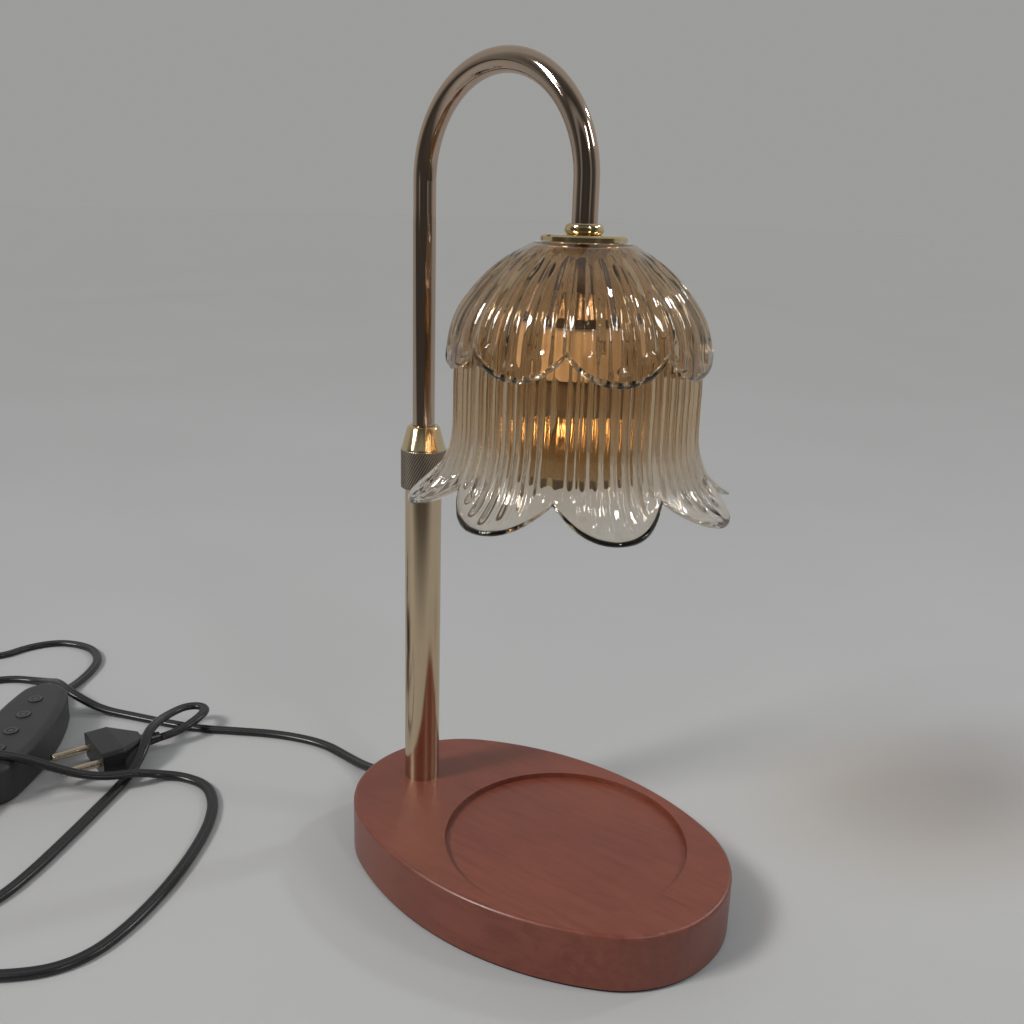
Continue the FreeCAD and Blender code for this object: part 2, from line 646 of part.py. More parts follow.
# A curved slot about the shade axis, from the rest position back by the bulb's twist
def twist_slot(width, bottom, top, side):
    half = width / 2
    corner = Vector(PIN_OFFSET - half, 0, bottom)
    section = Part.makePlane(width, top - bottom, corner, Vector(0, -1, 0), Vector(1, 0, 0))
    arc = section.revolve(ORIGIN, UP, -BULB_TWIST)
    first = cylinder(half, bottom, top, Vector(PIN_OFFSET, 0, 0))
    last = first.copy()
    last.rotate(ORIGIN, UP, -BULB_TWIST)
    slot = first.fuse(last).fuse(arc)
    slot.rotate(ORIGIN, UP, side)
    slot.translate(SHADE)
    return slot


def entry_hole(radius, bottom, top, side):
    hole = cylinder(radius, bottom, top, Vector(PIN_OFFSET, 0, 0))
    hole.rotate(ORIGIN, UP, side - BULB_TWIST)
    hole.translate(SHADE)
    return hole


def make_holder():
    cone_bottom = HOLDER_TOP - CAP_CONE_HEIGHT
    skirt_bottom = cone_bottom - CAP_SKIRT
    bore = UPPER_TUBE_RADIUS + FIT_GAP
    hub = bore + 2 * CAP_WALL
    pieces["holder_cap"] = revolve(
        [
            (bore, HOLDER_TOP),
            (hub, HOLDER_TOP),
            (CAP_RADIUS, cone_bottom),
            (CAP_RADIUS, skirt_bottom),
            (CAP_RADIUS - CAP_WALL, skirt_bottom),
            (CAP_RADIUS - CAP_WALL, cone_bottom - CAP_WALL),
            (hub, HOLDER_TOP - 2 * CAP_WALL),
            (hub, HOLDER_TOP - CAP_HUB_HEIGHT),
            (bore, HOLDER_TOP - CAP_HUB_HEIGHT),
        ],
        SHADE,
    )
    shoulder = skirt_bottom + CAP_WALL
    holder = cylinder(HOLDER_RADIUS, HOLDER_FACE, shoulder, SHADE)
    holder = holder.fuse(cone(HOLDER_RADIUS, bore + CAP_WALL, shoulder, HOLDER_BACK, SHADE)).removeSplitter()
    ceiling = HOLDER_FACE + SLOT_PLATE + PIN_HEAD_LENGTH + 2 * SLOT_CLEARANCE + CONTACT_THICK
    wide = 2 * (PIN_HEAD_RADIUS + SLOT_CLEARANCE)
    narrow = 2 * (PIN_NECK_RADIUS + SLOT_CLEARANCE)
    contacts = []
    for side in (0, 180):
        holder = holder.cut(twist_slot(narrow, HOLDER_FACE, HOLDER_FACE + SLOT_PLATE, side))
        holder = holder.cut(twist_slot(wide, HOLDER_FACE + SLOT_PLATE, ceiling, side))
        holder = holder.cut(entry_hole(wide / 2, HOLDER_FACE, HOLDER_FACE + SLOT_PLATE, side))
        contacts.append(twist_slot(wide - 2 * FIT_GAP, ceiling - CONTACT_THICK, ceiling, side))
    pieces["lamp_holder"] = holder
    pieces["holder_contacts"] = group(contacts)


def make_bulb():
    pieces["bulb_base"] = revolve(
        [
            (0, BULB_TOP),
            (BULB_BASE_RADIUS - BULB_EDGE_BEVEL, BULB_TOP),
            (BULB_BASE_RADIUS, BULB_TOP - BULB_EDGE_BEVEL),
            (BULB_BASE_RADIUS, REFLECTOR_TOP + BULB_NECK_TAPER),
            (BULB_NECK_RADIUS, REFLECTOR_TOP),
            (0, REFLECTOR_TOP),
        ],
        SHADE,
    )
    pins = []
    for side in (0, 180):
        centre = SHADE + Rotation(UP, side).multVec(Vector(PIN_OFFSET, 0, 0))
        neck_top = BULB_TOP + PIN_NECK_LENGTH
        neck = cylinder(PIN_NECK_RADIUS, BULB_TOP, neck_top, centre)
        head = cylinder(PIN_HEAD_RADIUS, neck_top, neck_top + PIN_HEAD_LENGTH, centre)
        pins.append(neck.fuse(head).removeSplitter())
    pieces["bulb_pins"] = group(pins)
    wall = REFLECTOR_WALL
    lens_top = REFLECTOR_BOTTOM + LENS_SINK + LENS_THICK
    outer = [(BULB_NECK_RADIUS, REFLECTOR_TOP)]
    outer += [(radius, REFLECTOR_TOP - drop) for radius, drop in REFLECTOR_PROFILE]
    inner = inset(outer, wall)[1:]
    rim = (REFLECTOR_RADIUS, REFLECTOR_BOTTOM)
    rim_in = (REFLECTOR_RADIUS - wall, REFLECTOR_BOTTOM)
    apex = (REFLECTOR_APEX_RADIUS, REFLECTOR_TOP - 2 * wall)
    edges = [
        line((0, REFLECTOR_TOP), outer[0]),
        curve_through(outer),
        line(outer[-1], rim),
        line(rim, rim_in),
        line(rim_in, inner[-1]),
        curve_through(list(reversed(inner)) + [apex]),
        line(apex, (0, apex[1])),
        line((0, apex[1]), (0, REFLECTOR_TOP)),
    ]
    pieces["bulb_reflector"] = revolve(edges, SHADE)
    lens_radius = REFLECTOR_RADIUS - wall - FIT_GAP
    pieces["bulb_lens"] = cylinder(lens_radius, lens_top - LENS_THICK, lens_top, SHADE)
    tip = apex[1] - CAPSULE_LENGTH
    capsule = cylinder(CAPSULE_RADIUS, tip, apex[1], SHADE)
    pieces["bulb_capsule"] = capsule.makeFillet(CAPSULE_TIP_ROUND, edges_at(capsule, tip))


# Straight runs joined by tangent arcs; without a bend radius each arc takes a share of the shorter run
def route_wire(name, points, bend_radius=None):
    points = [Vector(*p) for p in points]
    edges = []
    radii = []
    here = points[0]
    for before, corner, after in zip(points, points[1:], points[2:]):
        u = (corner - before).normalize()
        v = (after - corner).normalize()
        half_turn = u.getAngle(v) / 2
        shorter = min((corner - before).Length, (after - corner).Length)
        cut = bend_radius * math.tan(half_turn) if bend_radius else ARC_SHARE * shorter
        radius = cut / math.tan(half_turn)
        radii.append(radius)
        middle = corner + (v - u).normalize() * (radius / math.cos(half_turn) - radius)
        edges.append(Part.LineSegment(here, corner - u * cut).toShape())
        edges.append(Part.Arc(corner - u * cut, middle, corner + v * cut).toShape())
        here = corner + v * cut
    edges.append(Part.LineSegment(here, points[-1]).toShape())
    wire = Part.Wire(edges)
    print(name, "length", round(wire.Length, 1), "least bend radius", round(min(radii), 1))
    return wire


def cord_tube(name, wire, start, direction):
    tube = swept(wire, CORD_RADIUS, start, direction)
    share = tube.Volume / (math.pi * CORD_RADIUS**2 * wire.Length)
    print(name, "volume over section times length", round(share, 4), "valid", tube.isValid())
    pieces[name] = tube


# The lead inside the lamp: a fixed part in the base, and one that moves with the arm
def make_leads():
    route = [
        tuple(GROMMET_FACE),
        (CLAMP_X + CLAMP_WIDTH + LEAD_STRAIGHT, OUTLET_Y, OUTLET_Z),
        (STEM_X, 0, OUTLET_Z),
        (STEM_X, 0, LEAD_TOP),
    ]
    cord_tube("base_lead", route_wire("base_lead", route, LEAD_BEND), GROMMET_FACE, Vector(1, 0, 0))
    bottom = UPPER_TUBE_BOTTOM
    cord_tube("arm_lead", arm_path(bottom, HOLDER_BACK), at(STEM, bottom), UP)


# In-line dimmer, drawn along X about its own middle and then laid in its place
def make_dimmer():
    inner_length = DIMMER_LENGTH - 2 * DIMMER_WALL
    inner_width = DIMMER_WIDTH - 2 * DIMMER_WALL
    inner_end = DIMMER_END_RADIUS - DIMMER_WALL
    board_bottom = BOARD_TOP - BOARD_THICK
    low = oval(DIMMER_LENGTH, DIMMER_WIDTH, DIMMER_END_RADIUS, 0, DIMMER_SPLIT)
    low = low.makeFillet(DIMMER_FOOT_ROUND, edges_at(low, 0))
    low = low.cut(oval(inner_length, inner_width, inner_end, DIMMER_WALL, DIMMER_SPLIT))
    high = oval(DIMMER_LENGTH, DIMMER_WIDTH, DIMMER_END_RADIUS, DIMMER_SPLIT, DIMMER_HEIGHT)
    high = high.makeFillet(DIMMER_EDGE_ROUND, edges_at(high, DIMMER_HEIGHT))
    high = high.cut(oval(inner_length, inner_width, inner_end, DIMMER_SPLIT, DIMMER_HEIGHT - 2 * DIMMER_WALL))
    top_inside = DIMMER_HEIGHT - DIMMER_WALL
    bore_top = top_inside - CASE_BORE_FLOOR
    board_size = (inner_length - 2 * BOARD_INSET, inner_width - 2 * BOARD_INSET, inner_end - BOARD_INSET)
    high = high.cut(oval(*board_size, DIMMER_SPLIT, top_inside))
    board = oval(*board_size, board_bottom, BOARD_TOP)
    screws = []
    for x in (-BOSS_PITCH / 2, BOSS_PITCH / 2):
        centre = Vector(x, 0, 0)
        low = low.fuse(cylinder(BOSS_RADIUS, DIMMER_WALL, board_bottom, centre))
        low = low.cut(cylinder(CASE_SCREW_RADIUS + FIT_GAP, 0, board_bottom, centre))
        low = low.cut(cylinder(CASE_SCREW_HEAD + FIT_GAP, 0, CASE_SCREW_HEAD_THICK, centre))
        board = board.cut(cylinder(CASE_SCREW_RADIUS + FIT_GAP, board_bottom, BOARD_TOP, centre))
        high = high.fuse(cylinder(BOSS_RADIUS, BOARD_TOP, top_inside, centre))
        high = high.cut(cylinder(CASE_SCREW_RADIUS + FIT_GAP, BOARD_TOP, bore_top, centre))
        shank = cylinder(CASE_SCREW_RADIUS, CASE_SCREW_SINK, bore_top - CASE_SCREW_TIP_GAP, centre)
        head = cylinder(CASE_SCREW_HEAD, CASE_SCREW_SINK, CASE_SCREW_HEAD_THICK, centre)
        screws.append(shank.fuse(head).removeSplitter())
    flange_top = top_inside - BUTTON_LIFT_GAP
    flange_bottom = flange_top - BUTTON_FLANGE_THICK
    switches = []
    for i in range(BUTTON_COUNT):
        centre = Vector((i - (BUTTON_COUNT - 1) / 2) * BUTTON_PITCH, 0, 0)
        high = high.cut(cylinder(BUTTON_RADIUS + LOOSE_GAP, top_inside, DIMMER_HEIGHT, centre))
        button = cylinder(BUTTON_RADIUS, flange_top, DIMMER_HEIGHT + BUTTON_PROUD, centre)
        ring_cut = ring(
            BUTTON_RING_OUTER,
            BUTTON_RING_INNER,
            DIMMER_HEIGHT + BUTTON_PROUD - BUTTON_RING_DEPTH,
            DIMMER_HEIGHT + BUTTON_PROUD,
            centre,
        )
        button = button.fuse(cylinder(BUTTON_FLANGE, flange_bottom, flange_top, centre)).removeSplitter()
        pieces["button_%d" % (i + 1)] = laid(button.cut(ring_cut), DIMMER_PLACE)
        side = SWITCH_SIDE / 2
        stud_top = flange_bottom - BUTTON_TRAVEL - SWITCH_GAP
        switch = box(centre.x - side, centre.x + side, -side, side, BOARD_TOP, BOARD_TOP + SWITCH_HEIGHT)
        switches.append(switch.fuse(cylinder(SWITCH_STUD_RADIUS, BOARD_TOP, stud_top, centre)).removeSplitter())
    reliefs = {}
    for name, sign in (("dimmer_relief_lamp", -1), ("dimmer_relief_plug", 1)):
        out = Vector(sign, 0, 0)
        start = Vector(sign * (DIMMER_LENGTH / 2 - RELIEF_INSIDE), 0, RELIEF_Z)
        face = Vector(sign * DIMMER_LENGTH / 2, 0, RELIEF_Z)
        hole = Part.makeCylinder(RELIEF_RADIUS, RELIEF_INSIDE + 1, start, out)
        low = low.cut(hole)
        neck = Part.makeCylinder(RELIEF_RADIUS - FIT_GAP, RELIEF_INSIDE, start, out)
        tail = Part.makeCone(RELIEF_RADIUS - FIT_GAP, RELIEF_END_RADIUS, RELIEF_LENGTH, face, out)
        reliefs[name] = neck.fuse(tail).removeSplitter()
    pieces["dimmer_base"] = laid(low, DIMMER_PLACE)
    pieces["dimmer_cover"] = laid(high, DIMMER_PLACE)
    pieces["dimmer_board"] = laid(board, DIMMER_PLACE)
    pieces["dimmer_switches"] = laid(group(switches), DIMMER_PLACE)
    pieces["dimmer_screws"] = laid(group(screws), DIMMER_PLACE)
    for name, relief in reliefs.items():
        pieces[name] = laid(relief, DIMMER_PLACE)


def laid(shape, place):
    shape.Placement = place.multiply(shape.Placement)
    return shape


def rectangle(x, width, height):
    w, h = width / 2, height / 2
    corners = [Vector(x, -w, -h), Vector(x, w, -h), Vector(x, w, h), Vector(x, -w, h)]
    return Part.makePolygon(corners + corners[:1])


# Two-pin plug, drawn along X from the end of its strain relief
def make_plug():
    rear = PLUG_RELIEF_LENGTH
    taper = rear + PLUG_TAPER_LENGTH
    face = rear + PLUG_BODY_LENGTH
    wide = rectangle(taper, PLUG_FACE_WIDTH, PLUG_FACE_HEIGHT)
    shoulder = Part.makeLoft([rectangle(rear, PLUG_REAR_WIDTH, PLUG_REAR_HEIGHT), wide], True, True)
    head = Part.Face(wide).extrude(Vector(face - taper, 0, 0))
    body = shoulder.fuse(head).removeSplitter()
    long_edges = [e for e in body.Edges if e.BoundBox.XLength > 1.0 and abs(e.BoundBox.YMin) > 1.0]
    body = body.makeFillet(PLUG_EDGE_ROUND, long_edges)
    pins = []
    for y in (-PLUG_PIN_PITCH / 2, PLUG_PIN_PITCH / 2):
        root = Vector(face - PLUG_PIN_ROOT, y, 0)
        body = body.cut(Part.makeCylinder(PLUG_PIN_RADIUS + FIT_GAP, PLUG_PIN_ROOT, root, Vector(1, 0, 0)))
        pin = Part.makeCylinder(PLUG_PIN_RADIUS, PLUG_PIN_ROOT + PLUG_PIN_LENGTH, root, Vector(1, 0, 0))
        tip = [e for e in pin.Edges if e.BoundBox.XMin > face + PLUG_PIN_LENGTH - 1e-3]
        pins.append(pin.makeFillet(PLUG_PIN_TIP_ROUND, tip))
    pieces["plug_body"] = laid(body, PLUG_PLACE)
    pieces["plug_pins"] = laid(group(pins), PLUG_PLACE)
    relief = Part.makeCone(RELIEF_END_RADIUS, RELIEF_RADIUS, PLUG_RELIEF_LENGTH, ORIGIN, Vector(1, 0, 0))
    pieces["plug_relief"] = laid(relief, PLUG_PLACE)


# An arc that leaves a point along a tangent and reaches another point
def tangent_arc(start, tangent, end):
    chord = end - start
    along = chord.dot(tangent)
    across = (chord - tangent * along).normalize()
    angle = tangent.getAngle(chord)
    radius = chord.Length / (2 * math.sin(angle))
    half = 2 * radius * math.sin(angle / 2)
    middle = start + tangent * (half * math.cos(angle / 2)) + across * (half * math.sin(angle / 2))
    return Part.Arc(start, middle, end).toShape()


# Two quarter arcs that join opposite directions, also when one end lies higher
def half_turn(start, tangent, end):
    join = (start + end + tangent * (end - start).Length) * 0.5
    back = (end - join).normalize()
    first = tangent_arc(start, tangent, join)
    toward = first.tangentAt(first.LastParameter)
    if toward.dot(back) < 0:
        toward = toward * -1
    return [first, tangent_arc(join, toward, end)]


# Half turns that wind in on the floor, climb one layer and wind out again
def make_coil():
    axis = Rotation(UP, COIL_TURN).multVec(Vector(1, 0, 0))
    inward = [COIL_RADIUS - i * COIL_STEP for i in range(COIL_HALF_TURNS)]
    climb = COIL_RADIUS - COIL_HALF_TURNS * COIL_STEP
    radii = inward + [climb] + inward[::-1]
    point = Vector(COIL_X, COIL_Y, CORD_RADIUS) - axis * COIL_RADIUS
    heading = Rotation(UP, 90).multVec(axis)
    lead_in = point - heading * COIL_END_LENGTH
    edges = [Part.LineSegment(lead_in, point).toShape()]
    side = axis
    for i, radius in enumerate(radii):
        rise = COIL_LAYER if i == COIL_HALF_TURNS else 0
        end = point + side * (2 * radius) + Vector(0, 0, rise)
        edges += half_turn(point, heading, end)
        point = end
        side = side * -1
        heading = heading * -1
    lead_out = point + heading * COIL_END_LENGTH
    edges.append(Part.LineSegment(point, lead_out).toShape())
    wire = Part.Wire(edges)
    start_heading = (edges[0].Vertexes[1].Point - lead_in).normalize()
    cord_tube("cord_coil", wire, lead_in, start_heading)
    print("cord_coil length", round(wire.Length, 1), "from", lead_in, "to", lead_out, "heading", heading)
    print("cord_coil least gap to itself", round(least_gap(wire), 3))
    return lead_in, start_heading, lead_out, heading


# The least gap between windings, from points along the centre line
def least_gap(wire):
    points = wire.discretize(Distance=CHECK_STEP)
    skip = int(COIL_RADIUS / CHECK_STEP)
    least = min((p - q).Length for i, p in enumerate(points) for q in points[i + skip:])
    return least - 2 * CORD_RADIUS


# The cord's free stretches: their points are chosen along the route it lies in
def make_cords():
    coil_in, heading_in, coil_out, heading_out = make_coil()
    floor = CORD_RADIUS
    lamp_route = [
        tuple(GROMMET_FACE),
        (-104.0, 12.0, 7.3),
        (-117.5, 13.8, 4.2),
        (-134.0, 17.2, floor),
        (-154.0, 19.0, floor),
        (-179.0, 11.0, floor),
        (-201.0, -2.5, floor),
        (-219.0, -14.0, floor),
        (-238.5, -21.2, floor),
        (-259.0, -28.0, floor),
        (-277.0, -36.0, 3.6),
        (-289.5, -41.0, 8.4),
        (-300.5, -42.4, 10.8),
        (-315.5, -40.4, 10.8),
        (-328.5, -37.6, 5.6),
        (-342.5, -38.6, floor),
        (-356.5, -46.5, floor),
        (-364.5, -60.0, floor),
        tuple(coil_in - heading_in * 20),
        tuple(coil_in),
    ]
    cord_tube("lamp_cord", route_wire("lamp_cord", lamp_route), GROMMET_FACE, Vector(-1, 0, 0))
    lamp_end = DIMMER_PLACE.multVec(Vector(-DIMMER_LENGTH / 2 - RELIEF_LENGTH, 0, RELIEF_Z))
    plug_end = DIMMER_PLACE.multVec(Vector(DIMMER_LENGTH / 2 + RELIEF_LENGTH, 0, RELIEF_Z))
    dimmer_route = [
        tuple(coil_out),
        tuple(coil_out + heading_out * 12),
        (-417.0, -51.5, 4.4),
        (-403.0, -44.5, floor),
        (-391.5, -34.0, floor),
        (-392.5, -15.5, floor),
        (-385.0, 0.5, floor),
        (-371.0, 7.6, floor),
        (-356.5, 8.6, floor),
        (-341.0, 2.2, floor),
        (-330.0, -9.5, floor),
        (-321.0, -24.0, floor),
        (-312.7, -38.3, 4.4),
        tuple(lamp_end),
    ]
    cord_tube("dimmer_cord", route_wire("dimmer_cord", dimmer_route), coil_out, heading_out)
    plug_route = [
        tuple(plug_end),
        (-220.5, -141.3, 5.2),
        (-216.5, -154.5, 2.9),
        (-222.5, -168.5, floor),
        (-237.0, -176.0, floor),
        (-252.5, -173.5, floor),
        (-265.0, -163.5, 3.4),
        (-270.0, -149.5, 10.5),
        (-263.5, -136.0, 19.5),
        (-253.0, -125.8, 23.4),
        (-240.0, -115.0, 23.4),
        (-229.0, -107.3, 21.6),
        (-219.0, -98.8, 16.5),
        (-209.5, -89.5, 11.6),
        (-202.5, -79.5, 8.6),
        (-196.5, -69.0, 8.2),
        (-193.5, -59.0, 4.2),
        (-184.0, -50.0, floor),
        (-168.0, -47.2, floor),
        (-153.0, -54.3, floor),
        (-140.5, -66.0, floor),
        (-129.5, -81.0, floor),
        (-119.0, -99.0, floor),
        (-110.5, -117.5, floor),
        (-104.3, -135.5, floor),
        (-101.8, -151.5, floor),
        (-105.5, -165.5, floor),
        (-115.0, -177.0, floor),
        (-127.5, -187.5, floor),
        (-142.0, -191.5, floor),
        (-155.0, -183.5, floor),
        (-161.0, -170.0, floor),
        (-162.5, -154.5, floor),
        (-168.5, -138.5, floor),
        (-177.0, -120.5, floor),
        (-188.0, -98.5, floor),
        (-199.0, -77.0, floor),
        (-204.0, -65.5, 4.4),
        (-208.6, -55.4, 10.0),
        (-217.3, -46.6, 13.6),
        (-223.6, -37.4, 13.4),
        (-229.5, -28.4, 11.4),
        (-232.8, -19.6, 10.2),
        (-233.4, -11.4, 10.0),
        (-228.6, -5.2, 10.0),
        (-221.6, -6.0, 10.0),
        (-217.4, -13.2, 10.0),
        (-215.6, -22.0, 9.2),
        (-216.8, -30.3, 7.2),
        (PLUG_CORD_X, PLUG_CORD_Y, PLUG_Z),
    ]
    start = Vector(*plug_route[1]) - plug_end
    cord_tube("plug_cord", route_wire("plug_cord", plug_route), plug_end, start.normalize())


make_base()
make_outlet()
make_stem_fixing()
make_lock()
make_arm()
make_shade_fixing()
make_shade()
make_holder()
make_bulb()
make_leads()
make_dimmer()
make_plug()
make_cords()

for name, shape in pieces.items():
    if not shape.isValid():
        print("not valid:", name)
    shape.exportStep("parts/" + name + ".step")
print(len(pieces), "nodes")
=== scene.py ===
import json
import math

import bpy
from mathutils import Matrix, Vector


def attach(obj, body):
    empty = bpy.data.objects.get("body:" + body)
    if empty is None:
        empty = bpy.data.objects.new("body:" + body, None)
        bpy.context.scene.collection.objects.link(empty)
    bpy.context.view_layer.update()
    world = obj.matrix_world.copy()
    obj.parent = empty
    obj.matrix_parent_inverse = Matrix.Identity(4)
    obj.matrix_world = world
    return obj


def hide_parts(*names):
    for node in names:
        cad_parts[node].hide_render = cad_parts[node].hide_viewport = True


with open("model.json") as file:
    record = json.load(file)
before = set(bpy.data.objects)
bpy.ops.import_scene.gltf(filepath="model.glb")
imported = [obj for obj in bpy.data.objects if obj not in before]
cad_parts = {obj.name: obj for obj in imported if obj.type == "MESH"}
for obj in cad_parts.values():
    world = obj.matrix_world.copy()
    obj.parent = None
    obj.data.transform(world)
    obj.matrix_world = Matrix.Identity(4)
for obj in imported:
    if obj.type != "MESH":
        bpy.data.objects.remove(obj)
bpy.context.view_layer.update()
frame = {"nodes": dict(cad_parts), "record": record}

# Sizes in metres, as in the part
STEM = Vector((-0.0652, 0.0, 0.0))
ARM_TURN = math.radians(-7.2)
ARM_REACH = 0.0848
SHADE = STEM + Vector((math.cos(ARM_TURN), math.sin(ARM_TURN), 0.0)) * ARM_REACH
PHOTO_SIZE = 1024
FOCAL_PIXELS = 1023.0
SENSOR_MM = 36.0
CAMERA_PLACE = (0.221753, -0.326659, 0.283797)
CAMERA_RIGHT = Vector((0.80230414, 0.59620875, 0.02903765))
CAMERA_UP = Vector((-0.19075697, 0.20999445, 0.95891298))
CAMERA_AHEAD = Vector((-0.56561457, 0.77487899, -0.28221039))
CLIP_START, CLIP_END = 0.01, 60.0


# Camera at the photograph's place, from a perspective fit
def make_camera():
    data = bpy.data.cameras.new("camera")
    data.sensor_width = SENSOR_MM
    data.lens = FOCAL_PIXELS / PHOTO_SIZE * SENSOR_MM
    data.clip_start = CLIP_START
    data.clip_end = CLIP_END
    camera = bpy.data.objects.new("camera", data)
    turn = Matrix((CAMERA_RIGHT, CAMERA_UP, -CAMERA_AHEAD)).transposed()
    camera.matrix_world = Matrix.Translation(CAMERA_PLACE) @ turn.to_4x4()
    bpy.context.scene.collection.objects.link(camera)
    bpy.context.scene.camera = camera


make_camera()


def link(obj):
    bpy.context.scene.collection.objects.link(obj)
    return obj


def mesh_object(name, points, faces, material, smooth=True):
    mesh = bpy.data.meshes.new(name)
    mesh.from_pydata([tuple(p) for p in points], [], faces)
    mesh.materials.append(material)
    mesh.polygons.foreach_set("use_smooth", [smooth] * len(mesh.polygons))
    mesh.update()
    return link(bpy.data.objects.new(name, mesh))


# Quads between rows of points, each row a ring; closed_rows also joins the last row to the first
def grid_faces(rows, columns, closed_rows):
    faces = []
    for i in range(rows if closed_rows else rows - 1):
        j = (i + 1) % rows
        for k in range(columns):
            m = (k + 1) % columns
            faces.append((i * columns + k, i * columns + m, j * columns + m, j * columns + k))
    return faces


# A Principled material and short ways to add and join its nodes
class Nodes:
    def __init__(self, name):
        self.material = bpy.data.materials.new(name)
        self.material.use_nodes = True
        self.tree = self.material.node_tree
        self.shader = self.tree.nodes["Principled BSDF"]

    def add(self, kind, **values):
        node = self.tree.nodes.new(kind)
        for key, value in values.items():
            setattr(node, key, value)
        return node

    def join(self, a, out, b, into):
        self.tree.links.new(a.outputs[out], b.inputs[into])

    def set(self, **values):
        for key, value in values.items():
            socket = self.shader.inputs[key.replace("_", " ")]
            socket.default_value = value

    def place(self, scale=(1, 1, 1)):
        coords = self.add("ShaderNodeTexCoord")
        mapping = self.add("ShaderNodeMapping")
        mapping.inputs["Scale"].default_value = scale
        self.join(coords, "Object", mapping, "Vector")
        return mapping

    def noise(self, mapping, scale, detail=4.0, rough=0.6, twist=0.0):
        node = self.add("ShaderNodeTexNoise")
        node.inputs["Scale"].default_value = scale
        node.inputs["Detail"].default_value = detail
        node.inputs["Roughness"].default_value = rough
        node.inputs["Distortion"].default_value = twist
        self.join(mapping, "Vector", node, "Vector")
        return node

    def ramp(self, source, out, stops):
        node = self.add("ShaderNodeValToRGB")
        elements = node.color_ramp.elements
        while len(elements) < len(stops):
            elements.new(0.5)
        for element, (spot, color) in zip(elements, stops):
            element.position = spot
            element.color = (*color, 1.0)
        self.join(source, out, node, "Fac")
        return node

    # Runs from low to high as the source goes from start to end
    def span(self, source, out, low, high, start=0.3, end=0.7):
        node = self.add("ShaderNodeMapRange")
        node.inputs["From Min"].default_value = start
        node.inputs["From Max"].default_value = end
        node.inputs["To Min"].default_value = low
        node.inputs["To Max"].default_value = high
        self.join(source, out, node, "Value")
        return node

    def arith(self, operation, source, out, value=0.0):
        node = self.add("ShaderNodeMath", operation=operation)
        node.inputs[1].default_value = value
        self.join(source, out, node, 0)
        return node

    def bump(self, source, out, distance, strength=1.0):
        node = self.add("ShaderNodeBump")
        node.inputs["Strength"].default_value = strength
        node.inputs["Distance"].default_value = distance
        self.join(source, out, node, "Height")
        self.join(node, "Normal", self.shader, "Normal")

    # Shows the other shader in place of the Principled one, by a share from 0 to 1
    def swap(self, source, out, other):
        mix = self.add("ShaderNodeMixShader")
        self.join(source, out, mix, "Fac")
        self.join(self.shader, "BSDF", mix, 1)
        self.join(other, "BSDF", mix, 2)
        self.join(mix, "Shader", self.tree.nodes["Material Output"], "Surface")


def shaded(color, factor):
    return tuple(c * factor for c in color)


MOULD_BROADER = 22


# Moulded piece with a fine spark-eroded texture: colour, roughness and relief vary a little
def moulded(name, color, rough, scale=1500.0, relief=0.00003):
    n = Nodes(name)
    n.set(Metallic=0.0)
    place = n.place()
    fine = n.noise(place, scale)
    broad = n.noise(place, scale / MOULD_BROADER)
    tone = n.ramp(broad, "Fac", [(0.3, shaded(color, 0.90)), (0.7, shaded(color, 1.10))])
    n.join(tone, "Color", n.shader, "Base Color")
    rougher = n.span(fine, "Fac", rough * 0.85, rough * 1.15)
    n.join(rougher, "Result", n.shader, "Roughness")
    n.bump(fine, "Fac", relief)
    return n.material


# Reddish stained wood with its grain along the base's length
def wood_material():
    n = Nodes("stained_wood")
    n.set(Specular_IOR_Level=0.45, Coat_Weight=0.18, Coat_Roughness=0.30)
    place = n.place((1.0, 10.0, 6.0))
    grain = n.noise(place, 46.0, 8.0, 0.60, 0.4)
    streak = n.noise(n.place((4.0, 70.0, 50.0)), 40.0, 3.0, 0.7)
    cloud = n.noise(n.place(), 14.0, 3.0, 0.5)
    base = n.ramp(grain, "Fac", [
        (0.20, (0.105, 0.025, 0.014)), (0.5, (0.145, 0.037, 0.021)), (0.82, (0.178, 0.050, 0.029)),
    ])
    pores = n.ramp(streak, "Fac", [(0.30, (0.72, 0.68, 0.66)), (0.46, (1.0, 1.0, 1.0))])
    tone = n.ramp(cloud, "Fac", [(0.3, (0.86, 0.84, 0.84)), (0.7, (1.10, 1.08, 1.05))])
    first = n.add("ShaderNodeMix", data_type="RGBA", blend_type="MULTIPLY")
    second = n.add("ShaderNodeMix", data_type="RGBA", blend_type="MULTIPLY")
    first.inputs["Factor"].default_value = 0.45
    second.inputs["Factor"].default_value = 1.0
    n.join(base, "Color", first, "A")
    n.join(pores, "Color", first, "B")
    n.join(first, "Result", second, "A")
    n.join(tone, "Color", second, "B")
    n.join(second, "Result", n.shader, "Base Color")
    n.join(n.span(grain, "Fac", 0.33, 0.45), "Result", n.shader, "Roughness")
    n.bump(streak, "Fac", 0.00006, 0.6)
    return n.material


# Bare or plated metal, brushed, with a slight change of tone
def gold_material(name, color, rough, stretch, relief):
    n = Nodes(name)
    n.set(Metallic=1.0)
    place = n.place(stretch)
    fine = n.noise(place, 700.0, 3.0)
    broad = n.noise(n.place(), 30.0, 3.0)
    tone = n.ramp(broad, "Fac", [(0.3, shaded(color, 0.93)), (0.7, shaded(color, 1.05))])
    n.join(tone, "Color", n.shader, "Base Color")
    n.join(n.span(fine, "Fac", rough * 0.8, rough * 1.2), "Result", n.shader, "Roughness")
    n.bump(fine, "Fac", relief, 0.5)
    return n.material


